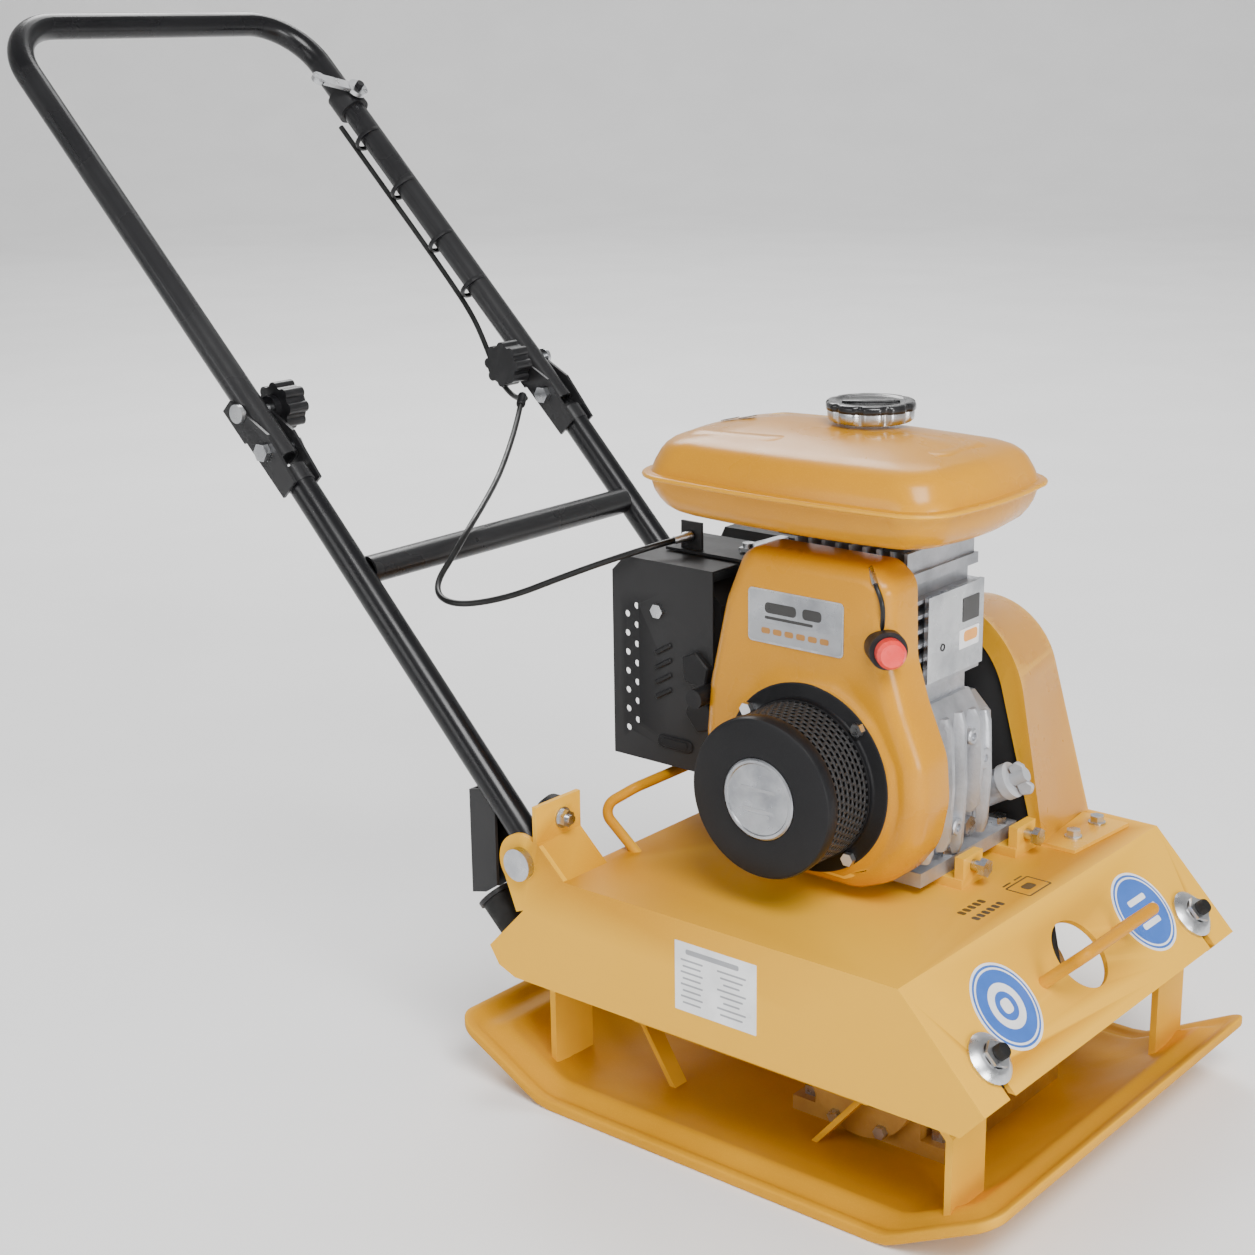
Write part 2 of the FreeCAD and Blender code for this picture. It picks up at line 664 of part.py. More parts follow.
def loop_band(upper, small, lower, large, depth):
    """An open belt round two circles, with a plain rectangular section."""
    def outline(r_up, r_low):
        span = upper - lower
        base = math.atan2(span.z, span.x)
        lean = math.acos((r_low - r_up) / span.Length)
        rims = []
        for sense in (1, -1):
            way = Vector(math.cos(base + sense * lean), 0, math.sin(base + sense * lean))
            rims.append((upper + way * r_up, lower + way * r_low))
        (a_up, a_low), (b_up, b_low) = rims
        along = span.normalize()
        edges = [Part.LineSegment(a_low, a_up).toShape(),
                 Part.Arc(a_up, upper + along * r_up, b_up).toShape(),
                 Part.LineSegment(b_up, b_low).toShape(),
                 Part.Arc(b_low, lower - along * r_low, a_low).toShape()]
        wire = Part.Wire(edges)
        wire.translate(Vector(0, float(BELT_Y) - 4.4, 0))
        return Part.Face(wire)
    ring = outline(small + depth, large + depth).cut(outline(small, large))
    return ring.extrude(Vector(0, 8.8, 0)).Solids[0]


# ---------------------------------------------------------------- engine core
BARREL_Y = D["barrel_side"]
BORE = D["bore_radius"]
THROW = D["crank_throw"]
BARREL_LOW = CRANK_Z + 46.0
BARREL_TOP = CRANK_Z + 152.0


def make_crankcase():
    """Cast case open towards the belt side, its end cover, filler plug and drain plug."""
    foot = RAIL_TOP
    body = new_body()
    pad(body, "y", [(-68.0, foot), (100.0, foot), (100.0, foot + 12.0), (80.0, foot + 12.0),
                    (80.0, foot + 34.0), (90.0, CRANK_Z - 20.0), (88.0, CRANK_Z + 24.0),
                    (74.0, BARREL_LOW), (-34.0, BARREL_LOW), (-52.0, CRANK_Z + 20.0),
                    (-50.0, CRANK_Z - 40.0), (-44.0, foot + 12.0), (-68.0, foot + 12.0)], -54.0, 56.0)
    feet = [box(span, (56.0, 97.0), (foot, foot + 12.0)) for span in ((-68.0, -44.0), (78.0, 100.0))]
    chamber = rod(49.0, (CRANK_X, -30.0, CRANK_Z), 90.0, "y")
    throat = rod(36.0, (CRANK_X, BARREL_Y, CRANK_Z), 50.0)
    journal = rod(15.05, (CRANK_X, -60.0, CRANK_Z), 40.0, "y")
    node("crankcase", cut(fuse(body, *feet), chamber, throat, journal))
    lid = slab("y", [(-46.0, foot + 14.0), (80.0, foot + 14.0), (88.0, CRANK_Z - 20.0),
                     (86.0, CRANK_Z + 24.0), (70.0, BARREL_LOW - 6.0), (-30.0, BARREL_LOW - 6.0),
                     (-50.0, CRANK_Z + 20.0), (-48.0, CRANK_Z - 40.0)], 56.0, 72.0)
    boss = rod(34.0, (CRANK_X, 72.0, CRANK_Z), 26.0, "y")
    axis = Vector(0.86, 0.1, 0.5).normalize()
    neck_root = Vector(66.0, 80.0, 250.0)
    neck = rod(14.0, (neck_root.x, neck_root.y, neck_root.z), 34.0, axis)
    cover = cut(fuse(lid, boss, neck),
                rod(15.05, (CRANK_X, 50.0, CRANK_Z), 60.0, "y"))
    node("crankcase_cover", cover)
    mouth = neck_root + axis * 34.0
    wing = mouth + axis * 8.0
    cap = fuse(rod(15.5, (mouth.x, mouth.y, mouth.z), 8.0, axis),
               rod(6.0, (wing.x, wing.y, wing.z), 14.0, axis))
    node("oil_filler_cap", cap)
    HEX_BOLTS.append(hexagon(9.0, (80.0, 40.0, foot + 22.0), 9.0, "x"))


def make_crank_train():
    """Crankshaft in two halves with disc webs, connecting rod with its pin, and the piston."""
    fan_end = turned([(0.0, -98.0), (10.0, -98.0), (10.0, -60.0), (15.0, -60.0), (15.0, -30.0),
                      (45.0, -29.0), (45.0, -9.5), (0.0, -9.5)], (CRANK_X, 0.0, CRANK_Z), "y")
    drive_end = turned([(0.0, 25.5), (45.0, 25.5), (45.0, 44.0), (15.0, 46.0), (15.0, 100.0),
                        (10.0, 100.0), (10.0, 174.0), (0.0, 174.0)], (CRANK_X, 0.0, CRANK_Z), "y")
    node("crankshaft", group([fan_end, drive_end]))
    big = CRANK_Z + THROW
    small = big + D["rod_length"]
    shank = fuse(rod(17.0, (CRANK_X, BARREL_Y - 9.0, big), 18.0, "y"),
                 rod(11.0, (CRANK_X, BARREL_Y - 9.0, small), 18.0, "y"),
                 box((CRANK_X - 7.0, CRANK_X + 7.0), (BARREL_Y - 5.0, BARREL_Y + 5.0),
                     (big + 8.0, small - 6.0)))
    node("connecting_rod", cut(shank, rod(12.0, (CRANK_X, BARREL_Y - 9.5, big), 19.0, "y"),
                               rod(7.0, (CRANK_X, BARREL_Y - 9.5, small), 19.0, "y")))
    node("rod_pins", group([rod(12.0, (CRANK_X, BARREL_Y - 16.0, big), 32.0, "y"),
                            rod(7.0, (CRANK_X, BARREL_Y - 27.0, small), 54.0, "y")]))
    crown = turned([(0.0, 12.0), (26.0, 12.0), (26.0, -20.0), (BORE - 0.08, -20.0),
                    (BORE - 0.08, 18.0), (0.0, 18.0)], (CRANK_X, BARREL_Y, small))
    bosses = rod(7.0, (CRANK_X, BARREL_Y - 34.0, small), 68.0, "y")
    node("piston", cut(crown, bosses))


def make_cylinder():
    """Finned barrel, finned head with its bolts and the spark plug."""
    bx, by = CRANK_X, BARREL_Y
    core = box((bx - 46.0, bx + 50.0), (by - 46.0, by + 46.0), (BARREL_LOW, BARREL_TOP))
    fins = []
    for index in range(7):
        low = BARREL_LOW + 18.0 + index * 12.0
        fins.append(box((bx - 58.0, bx + 58.0), (by - 54.0, by + 54.0), (low, low + 3.0)))
    barrel = cut(fuse(core, *fins), rod(BORE, (bx, by, BARREL_LOW), 110.0))
    node("cylinder_block", barrel)
    head_low = BARREL_TOP
    plate = box((bx - 56.0, bx + 56.0), (by - 52.0, by + 52.0), (head_low, head_low + 9.0))
    ribs = [box((bx - 54.0 + 13.0 * index, bx - 51.0 + 13.0 * index), (by - 50.0, by + 50.0),
                (head_low + 9.0, head_low + 26.0)) for index in range(9)]
    plug_way = rod(7.05, (bx + 19.5, by, head_low - 1.0), 30.0)
    plug_seat = rod(13.0, (bx + 19.5, by, head_low + 9.0), 20.0)
    node("cylinder_head", cut(fuse(plate, *ribs), plug_seat, plug_way))
    plug = turned([(0.0, 0.0), (7.0, 0.0), (7.0, 9.0), (10.5, 9.0), (10.5, 17.0), (6.0, 17.0),
                   (4.5, 30.0), (0.0, 30.0)], (bx + 19.5, by, head_low + 0.4))
    node("spark_plug", plug)


SWITCH_WAY = Vector(0.72, -0.69, 0).normalize()
SWITCH_OUT = 25.0


def make_cooling_covers():
    """Blower housing with its stop switch, the baffle at the barrel and the flywheel fan."""
    wall = float(D["sheet_metal"])
    cx, cz = float(CRANK_X), float(CRANK_Z)

    def outline(inset, level):
        points = [(-38.0 + inset, 487.0 - inset), (76.0 - inset, 487.0 - inset),
                  (92.0 - inset, 470.0 - inset), (94.0 - inset, 412.0),
                  (108.0 - inset, 376.0), (126.0 - inset, 330.0), (126.0 - inset, 290.0),
                  (112.0 - inset, 254.0 + inset * 0.4), (88.0 - inset, 226.0 + inset),
                  (62.0, 220.0 + inset), (-30.0, 220.0 + inset), (-58.0 + inset, 234.0 + inset),
                  (-82.0 + inset, 278.0), (-84.0 + inset, 330.0), (-76.0 + inset, 364.0),
                  (-58.0 + inset, 433.0)]
        corners = [Vector(x, level, z) for x, z in points]
        return Part.Face(Part.makePolygon(corners + corners[:1]))

    outer = outline(0.0, -58.0).extrude(Vector(0, -42.0, 0))
    rim = [edge for edge in outer.Edges
           if all(abs(vertex.Point.y + 100.0) < 0.01 for vertex in edge.Vertexes)]
    outer = outer.makeFillet(10.0, rim)
    inner = outline(wall + 0.4, -57.0).extrude(Vector(0, -43.0 + wall, 0))
    rim = [edge for edge in inner.Edges
           if all(abs(vertex.Point.y + 100.0 - wall) < 0.01 for vertex in edge.Vertexes)]
    inner = inner.makeFillet(8.5, rim)
    mouth = Part.makeCylinder(63.0, 30, Vector(cx, -110, cz), Vector(0, 1, 0))
    shell = outer.cut(inner).cut(mouth)
    node("blower_housing", solid(shell))
    seat = Vector(78.0, -84.5, 426.0)
    saddle = Part.makeCylinder(15.0, SWITCH_OUT, seat, SWITCH_WAY).cut(outer)
    node("stop_switch_base", solid(saddle))
    front = seat + SWITCH_WAY * (SWITCH_OUT + 0.2)
    node("stop_switch_knob", turned([(0.0, 0.0), (10.5, 0.0), (11.5, 2.0), (11.5, 10.0), (9.0, 13.0),
                                     (0.0, 13.0)], (front.x, front.y, front.z), SWITCH_WAY))
    plate = box((80.0, 84.0), (-26.0, 58.0), (378.0, 449.0))
    node("cylinder_baffle", plate)
    disc = turned([(10.0, -72.0), (76.0, -72.0), (76.0, -66.0), (20.0, -64.0), (20.0, -60.0),
                   (10.0, -60.0)], (CRANK_X, 0.0, CRANK_Z), "y")
    blades = []
    for turn in range(12):
        angle = 30.0 * turn
        blade = doc.addObject("Part::Box", "Blade")
        bind(blade, "Length", 22.0)
        bind(blade, "Width", 14.0)
        bind(blade, "Height", 3.0)
        spin = Rotation(Vector(0, 1, 0), angle)
        start = spin.multVec(Vector(52.0, 0, -1.5))
        place(blade, (CRANK_X + start.x, -86.0, CRANK_Z + start.z), spin)
        blades.append(blade)
    node("flywheel", fuse(disc, *blades))


# ---------------------------------------------------------------- recoil starter
def make_recoil_starter():
    """Cover with vents, rope reel, centre badge, screws and the pull grip."""
    face = D["starter_face"]
    radius = D["starter_radius"]
    deep = -face
    shell = turned([(0.0, deep - 2.0), (radius - 2.0, deep - 2.0), (radius - 2.0, 103.0),
                    (63.0, 103.0), (63.0, 100.0), (78.0, 100.0), (78.0, 103.0), (radius, 103.0),
                    (radius, deep - 3.0), (radius - 3.0, deep), (0.0, deep)],
                   (CRANK_X, 0.0, CRANK_Z), Vector(0, -1, 0))
    vents = []
    for turn in range(18):
        angle = 20.0 * turn
        spin = Rotation(Vector(0, 1, 0), angle)
        vent = doc.addObject("Part::Box", "Vent")
        for prop, value in (("Length", 12.0), ("Width", 34.0), ("Height", 11.0)):
            bind(vent, prop, value)
        start = spin.multVec(Vector(58.0, 0, -5.5))
        place(vent, (CRANK_X + start.x, -146.0, CRANK_Z + start.z), spin)
        vents.append(vent)
    node("recoil_cover", cut(shell, fuse(*vents)))
    node("recoil_reel", turned([(0.0, 108.0), (50.0, 108.0), (50.0, 111.0), (40.0, 113.0),
                                (40.0, 119.0), (50.0, 121.0), (50.0, 124.0), (8.0, 124.0),
                                (8.0, deep - 2.3), (0.0, deep - 2.3)],
                               (CRANK_X, 0.0, CRANK_Z), Vector(0, -1, 0)))
    screws = []
    for degrees in (139.0, 45.0, -52.0, -140.0):
        angle = math.radians(degrees)
        x = CRANK_X + 72.5 * math.cos(angle)
        z = CRANK_Z + 72.5 * math.sin(angle)
        screws.append(hexagon(5.6, (x, -103.0, z), 5.5, Vector(0, -1, 0)))
    COVER_SCREWS.extend(screws)
    grip_x, grip_z = -90.0, 352.0
    node("starter_grip", fuse(rod(8.0, (grip_x, -104.0, grip_z), 31.0, "y"),
                              rod(2.0, (grip_x, -73.0, grip_z), 60.0, "y")))


# ---------------------------------------------------------------- fuel tank
def make_tank():
    """Upper and lower pressed shells that meet at a flange, filler cap and brackets."""
    length, width = float(D["tank_length"]), float(D["tank_width"])
    middle = (0.0, float(D["tank_side"]))
    seam, floor, crown = float(D["tank_seam"]), float(D["tank_floor"]), float(D["tank_crown"])
    wall = float(D["tank_sheet"])

    def shell(sections, hollow):
        wires = [rounded_section(length - 2 * inset, width - 2 * inset, 34.0, middle, level)
                 for inset, level in sections]
        inner = [rounded_section(length - 2 * inset, width - 2 * inset, 30.0, middle, level)
                 for inset, level in hollow]
        return Part.makeLoft(wires, True, True).cut(Part.makeLoft(inner, True, True))

    upper = shell([(9.0, seam), (12.0, seam + 12.0), (20.0, crown - 14.0), (42.0, crown)],
                  [(10.8, seam - 0.1), (13.8, seam + 12.0), (22.0, crown - 15.5),
                   (43.0, crown - wall)])
    rim = Part.makeLoft([rounded_section(length, width, 42.0, middle, seam),
                         rounded_section(length, width, 42.0, middle, seam + 2.0)], True, True)
    hole = Part.makeLoft([rounded_section(length - 21.0, width - 21.0, 32.0, middle, seam - 1),
                          rounded_section(length - 21.0, width - 21.0, 32.0, middle, seam + 3)],
                         True, True)
    neck_at = Vector(12.0, -4.0, crown - 3.0)
    neck = Part.makeCylinder(25.0, 6.0, neck_at)
    way = Part.makeCylinder(23.0, 20.0, neck_at - Vector(0, 0, 8.0))
    node("fuel_tank_upper", solid(upper.fuse(rim.cut(hole)).fuse(neck).cut(way).removeSplitter()))
    lower = shell([(9.0, seam), (12.0, seam - 14.0), (18.0, floor + 5.0), (26.0, floor)],
                  [(10.8, seam + 0.1), (13.8, seam - 14.0), (19.6, floor + 5.5), (26.0, floor + wall)])
    rim_low = rim.cut(hole)
    rim_low.translate(Vector(0, 0, -2.0))
    node("fuel_tank_lower", solid(lower.fuse(rim_low).removeSplitter()))
    cap_low = crown - 3.0 + 6.0
    cap = turned([(0.0, 0.0), (32.0, 0.0), (36.0, 2.0), (36.0, 13.0), (33.0, 16.0), (0.0, 16.0)],
                 (neck_at.x, neck_at.y, cap_low))
    node("fuel_cap", cap)
    legs = [box((bx - 10.0, bx + 10.0), (y - 8.0, y + 8.0), (486.2, floor))
            for bx in (-40.0, 60.0) for y in (-34.0, 46.0)]
    node("tank_feet", group(legs))


# ---------------------------------------------------------------- exhaust, intake, controls
def make_rear_engine_parts():
    """Muffler with its vented guard, carburettor, air cleaner, governor bracket and levers."""
    guard = new_body()
    wall = D["sheet_metal"]
    low, high = 274.0, 452.0
    pad(guard, "y", [(-204.0, low), (-96.0, low), (-96.0, high), (-190.0, high), (-204.0, high - 14.0)],
        -70.0, 36.0)
    pocket(guard, "y", [(-210.0, low + wall), (-90.0, low + wall), (-90.0, high - wall),
                        (-210.0, high - wall)], -70.0 + wall, 40.0)
    holes = []
    for row in range(7):
        holes.append(rod(3.0, (-178.0, -74.0, 308.0 + 17.0 * row), 10.0, "y"))
        holes.append(rod(3.0, (-188.0, -74.0, 299.5 + 17.0 * row), 10.0, "y"))
    node("muffler_guard", cut(guard, fuse(*holes)))
    COVER_SCREWS.append(hexagon(6.5, (-153.3, -70.0, 409.6), 4.0, Vector(0, -1, 0)))
    can = slab("y", [(-186.0, 300.0), (-166.0, 284.0), (-112.0, 284.0), (-96.0, 300.0),
                     (-96.0, 420.0), (-112.0, 436.0), (-166.0, 436.0), (-186.0, 420.0)], -58.0, 22.0)
    pipe = rod(13.0, (-96.0, -14.0, 396.0), 54.0, "x")
    node("muffler", fuse(can, pipe))
    body = fuse(box((-92.0, -50.0), (36.0, 62.0), (380.0, 424.0)),
                rod(12.0, (-50.0, 48.0, 402.0), 12.4, "x"),
                rod(14.0, (-71.0, 48.0, 352.0), 30.0))
    node("carburetor", body)
    node("air_cleaner", slab("x", [(44.0, 360.0), (96.0, 360.0), (104.0, 372.0), (104.0, 446.0),
                                   (92.0, 456.0), (52.0, 456.0), (44.0, 446.0)], -176.0, -92.0))
    bracket = fuse(box((-174.0, -46.0), (-34.0, 14.0), (453.0, 455.5)),
                   box((-162.0, -140.0), (-28.0, -25.5), (453.0, 479.0)),
                   box((-60.0, -37.7), (-34.0, 6.0), (455.5, 462.0)))
    hole = rod(2.0, (-151.0, -30.0, 467.0), 10.0, "y")
    node("governor_bracket", cut(bracket, hole, rod(3.1, (-104.0, -10.0, 450.0), 10.0)))
    arm = slab("z", [(-110.0, -16.0), (-98.0, -16.0), (-96.0, 0.0), (-100.0, 42.0), (-108.0, 42.0),
                     (-112.0, 0.0)], 457.0, 460.0)
    pin = fuse(rod(3.05, (-104.0, -10.0, 452.4), 10.0), rod(5.0, (-104.0, -10.0, 459.0), 5.0))
    node("governor_arm", fuse(arm, pin))
    choke = fuse(rod(3.0, (-78.0, 62.0, 412.0), 6.0, "y"),
                 box((-81.0, -75.0), (68.0, 70.5), (392.0, 416.0)))
    node("choke_lever", choke)


# ---------------------------------------------------------------- handle
HALF = D["handle_half"]
TUBE = D["tube_radius"]
PIVOT = Vector(float(D["pivot_back"]), 0, float(D["pivot_up"]))
FOLD = Vector(float(D["fold_back"]), 0, float(D["fold_up"]))
GRIP = Vector(float(D["grip_back"]), 0, float(D["grip_up"]))
CROSS = Vector(float(D["cross_back"]), 0, float(D["cross_up"]))
LOWER_WAY = (FOLD - PIVOT).normalize()
UPPER_WAY = (GRIP - FOLD).normalize()
KNOB = FOLD + UPPER_WAY * 44.0


def beside(point, way, along, across=0.0):
    """A point moved along a tube and square to it, in the handle's side view."""
    square = Vector(-way.z, 0, way.x)
    return point + way * along + square * across


EYE_RADIUS = 16.0
FOLD_HOLE = 5.1
KNOB_HOLE = 4.6
PIVOT_HOLE = 8.1
HOLE_DEPTH = 60.0
ACROSS = Vector(0, 1, 0)


def make_lower_handle():
    """Two lower tubes with a crossbar, channel ends for the fold, pivot plates and buffers."""
    half = float(HALF)
    radius, wall = float(TUBE), float(D["tube_wall"])
    top = beside(FOLD, LOWER_WAY, -24.0)
    foot = beside(PIVOT, LOWER_WAY, 14.0)
    shapes = []
    for side in SIDES.values():
        tube = Part.makeCylinder(radius, (top - foot).Length, Vector(foot.x, side * half, foot.z), LOWER_WAY)
        core = Part.makeCylinder(radius - wall, (top - foot).Length,
                                 Vector(foot.x, side * half, foot.z), LOWER_WAY)
        eye = Part.makeCylinder(EYE_RADIUS, 2 * radius - 3,
                                Vector(PIVOT.x, side * half - radius + 1.5, PIVOT.z), ACROSS)
        cheeks = []
        for sense in (-1, 1):
            inner = radius + 0.6
            low = side * half + (inner if sense > 0 else -inner - 3.0)
            corners = [beside(top, UPPER_WAY, -18.0, -10.0), beside(top, UPPER_WAY, -18.0, 12.5),
                       beside(KNOB, UPPER_WAY, 16.0, 13.5), beside(KNOB, UPPER_WAY, 16.0, 2.0),
                       beside(KNOB, UPPER_WAY, -12.0, -6.5), beside(FOLD, UPPER_WAY, 8.0, -14.0)]
            corners = [Vector(corner.x, low, corner.z) for corner in corners]
            face = Part.Face(Part.makePolygon(corners + corners[:1]))
            cheeks.append(face.extrude(Vector(0, 3.0, 0)))
        web_corners = [beside(FOLD, UPPER_WAY, 22.0, 13.2), beside(FOLD, UPPER_WAY, 22.0, 16.2),
                       beside(KNOB, UPPER_WAY, 16.0, 16.2), beside(KNOB, UPPER_WAY, 16.0, 13.2)]
        web_low = side * half - radius - 3.6
        web_corners = [Vector(corner.x, web_low, corner.z) for corner in web_corners]
        web = Part.Face(Part.makePolygon(web_corners + web_corners[:1]))
        web = web.extrude(Vector(0, 2 * radius + 7.2, 0))
        cheek_set = cheeks[0].fuse(cheeks[1])
        links = []
        for low in (-radius - 3.6, radius + 0.6):
            line = [beside(FOLD, UPPER_WAY, 22.0, 12.5), beside(FOLD, UPPER_WAY, 22.0, 16.2),
                    beside(KNOB, UPPER_WAY, 16.0, 16.2), beside(KNOB, UPPER_WAY, 16.0, 12.5)]
            line = [Vector(corner.x, side * half + low, corner.z) for corner in line]
            links.append(Part.Face(Part.makePolygon(line + line[:1])).extrude(Vector(0, 3.0, 0)))
        plug = Part.makeCylinder(radius + 0.7, 16.0, Vector(top.x, side * half, top.z) - LOWER_WAY * 16.0,
                                 LOWER_WAY)
        shape = tube.cut(core).fuse([cheek_set, web, plug, eye] + links)
        for hole_radius, spot in ((FOLD_HOLE, FOLD), (KNOB_HOLE, KNOB), (PIVOT_HOLE, PIVOT)):
            start = Vector(spot.x, side * half - HOLE_DEPTH / 2, spot.z)
            shape = shape.cut(Part.makeCylinder(hole_radius, HOLE_DEPTH, start, ACROSS))
        notch = [beside(KNOB, UPPER_WAY, -4.6, 0.0), beside(KNOB, UPPER_WAY, 4.6, 0.0),
                 beside(KNOB, UPPER_WAY, 4.6, -14.0), beside(KNOB, UPPER_WAY, -4.6, -14.0)]
        notch = [Vector(corner.x, side * half - 30, corner.z) for corner in notch]
        notch = Part.Face(Part.makePolygon(notch + notch[:1])).extrude(Vector(0, HOLE_DEPTH, 0))
        shapes.append(shape.cut(notch))
    cross = Part.makeCylinder(radius, 2 * half - 2 * radius + 4,
                              Vector(CROSS.x, -half + radius - 2, CROSS.z), ACROSS)
    bore = Part.makeCylinder(radius - wall, 2 * half - 2 * radius + 6,
                             Vector(CROSS.x, -half + radius - 3, CROSS.z), ACROSS)
    cores = [Part.makeCylinder(radius - wall, (top - foot).Length - 20,
                               Vector(foot.x, side * half, foot.z), LOWER_WAY) for side in SIDES.values()]
    frame = shapes[0].fuse([shapes[1], cross.cut(bore)])
    for core in cores:
        frame = frame.cut(core)
    node("handle_lower", solid(frame.removeSplitter()))


BUFFER_UP = 144.2
BUFFER_GAP = 0.4
KNOB_RADIUS = 22.5
UP_FRONT = Vector(UPPER_WAY.z, 0, -UPPER_WAY.x)


def make_handle_fittings():
    """Hanging buffer plates with rubber feet, pivot bolts and fold bolts."""
    half = float(HALF)
    foot = slope_point(D["bend_rear"], D["tail_back"], D["tail_low"], BUFFER_UP) + REAR_SLOPE * BUFFER_GAP
    shelf = foot + REAR_SLOPE * 30.0
    straps, feet, folds = [], [], []
    for side in SIDES.values():
        y = side * half
        cheek = slab("y", [(-262.0, 168.0), (-246.0, 172.0), (-233.0, 181.0), (-233.0, 250.0),
                           (-243.0, 266.0), (-262.0, 262.0)], y - 10.0, y + 10.0)
        inside = slab("y", [(-259.0, 100.0), (-200.0, 100.0), (-200.0, 300.0), (-259.0, 300.0)],
                      y - 7.0, y + 7.0)
        tube = rod(TUBE + 0.02, (PIVOT.x, y, PIVOT.z), 120.0, LOWER_WAY)
        ledge = rod(17.0, (shelf.x, y, shelf.z), 4.0, REAR_SLOPE)
        straps.append(fuse(cut(cheek, inside, tube), ledge))
        feet.append(rod(15.0, (foot.x, y, foot.z), 30.0, REAR_SLOPE))
        out = Vector(0, side, 0)
        HEX_BOLTS.append(fuse(rod(8.0, (PIVOT.x, side * 169.0, PIVOT.z), 37.0, out),
                              rod(14.0, (PIVOT.x, side * 206.0, PIVOT.z), 7.0, out)))
        folds.append(fuse(rod(5.0, (FOLD.x, side * 163.0, FOLD.z), 38.0, out),
                          hexagon(8.6, (FOLD.x, side * 200.3, FOLD.z), 6.0, out),
                          hexagon(8.6, (FOLD.x, side * 161.5, FOLD.z), 6.2, out)))
    node("buffer_plates", group(straps))
    node("handle_buffers", group(feet))
    node("fold_bolts", group(folds))


def make_lock_knobs():
    """An eight-lobed star knob on each side, with the square-neck bolt that it tightens."""
    shanks = []
    for name, side in SIDES.items():
        inward = Vector(0, -side, 0)
        hub = rod(11.0, (KNOB.x, side * 167.4, KNOB.z), 7.0, inward)
        star = rod(KNOB_RADIUS - 3.6, (KNOB.x, side * 160.4, KNOB.z), 22.0, inward)
        lobes = []
        for turn in range(8):
            angle = math.radians(45 * turn)
            x = KNOB.x + (KNOB_RADIUS - 5.2) * math.cos(angle)
            z = KNOB.z + (KNOB_RADIUS - 5.2) * math.sin(angle)
            lobes.append(rod(5.2, (x, side * 160.4, z), 22.0, inward))
        socket = rod(4.05, (KNOB.x, side * 168.4, KNOB.z), 19.0, inward)
        node(f"lock_knob_{name}", cut(fuse(hub, star, *lobes), socket))
        shanks.append(fuse(rod(4.0, (KNOB.x, side * 200.6, KNOB.z), 50.0, inward),
                           rod(8.5, (KNOB.x, side * 200.6, KNOB.z), 4.0, Vector(0, side, 0))))
    node("lock_bolts", group(shanks))


def make_upper_handle():
    """The bent grip loop, drilled for the fold and lock bolts."""
    half = float(HALF)
    end = beside(FOLD, UPPER_WAY, -12.0)
    points = [(end.x, -half, end.z), (GRIP.x, -half, GRIP.z), (GRIP.x, half, GRIP.z),
              (end.x, half, end.z)]
    loop = bar(points, 62.0, TUBE, D["tube_wall"])
    holes = []
    for side in SIDES.values():
        holes.append(rod(5.05, (FOLD.x, side * half - 20.0, FOLD.z), 40.0, "y"))
        holes.append(rod(4.05, (KNOB.x, side * half - 20.0, KNOB.z), 40.0, "y"))
    node("handle_upper", cut(loop, *holes))


LEVER_ALONG = 400.0


def make_throttle():
    """A clamp on the left grip tube with a thumb lever on its stud."""
    seat = beside(FOLD, UPPER_WAY, LEVER_ALONG)
    low = beside(FOLD, UPPER_WAY, LEVER_ALONG - 12.0)
    y = float(HALF)
    bore = rod(TUBE + 0.02, (low.x, y, low.z), 24.0, UPPER_WAY)
    ring = cut(rod(17.0, (low.x, y, low.z), 24.0, UPPER_WAY), bore)
    step = seat + UP_FRONT * 13.5
    stud = fuse(rod(9.0, (step.x, y, step.z), 5.0, UP_FRONT), rod(4.0, (step.x, y, step.z), 16.0, UP_FRONT))
    stud = cut(stud, bore)
    node("throttle_clamp", fuse(ring, stud))
    level = seat + UP_FRONT * 18.7
    arm_way = (UPPER_WAY * 0.35 + Vector(0, -0.94, 0)).normalize()
    hub = rod(11.0, (level.x, y, level.z), 5.0, UP_FRONT)
    blade = doc.addObject("Part::Box", "Blade")
    bind(blade, "Length", 46.0)
    bind(blade, "Width", 12.0)
    bind(blade, "Height", 4.0)
    across = UP_FRONT.cross(arm_way)
    turn = Rotation(arm_way, across, UP_FRONT, "XYZ")
    corner = Vector(level.x, y, level.z) - across * 6.0 + UP_FRONT * 0.5
    place(blade, (corner.x, corner.y, corner.z), turn)
    tip = Vector(level.x, y, level.z) + arm_way * 46.0
    knob = rod(7.5, (tip.x, tip.y, tip.z), 5.0, UP_FRONT)
    lever = cut(fuse(hub, blade, knob), rod(4.05, (level.x, y, level.z), 6.0, UP_FRONT))
    node("throttle_lever", lever)


CABLE_RADIUS = 2.75
CABLE_ROUTE = [
    (-492.0, 134.0, 527.1), (-474.0, 108.0, 513.0), (-449.0, 69.0, 495.0), (-421.0, 23.0, 477.0),
    (-389.0, -32.0, 464.0), (-363.0, -82.0, 451.3), (-357.0, -108.0, 433.5), (-354.0, -130.0, 418.0),
    (-338.0, -147.0, 409.5), (-316.0, -151.0, 406.5), (-293.0, -142.0, 409.0), (-266.0, -124.0, 417.0),
    (-237.0, -107.0, 431.0), (-206.0, -95.0, 445.0), (-178.0, -80.0, 457.0), (-160.0, -58.0, 464.0),
    (-151.0, -30.2, 467.0)]
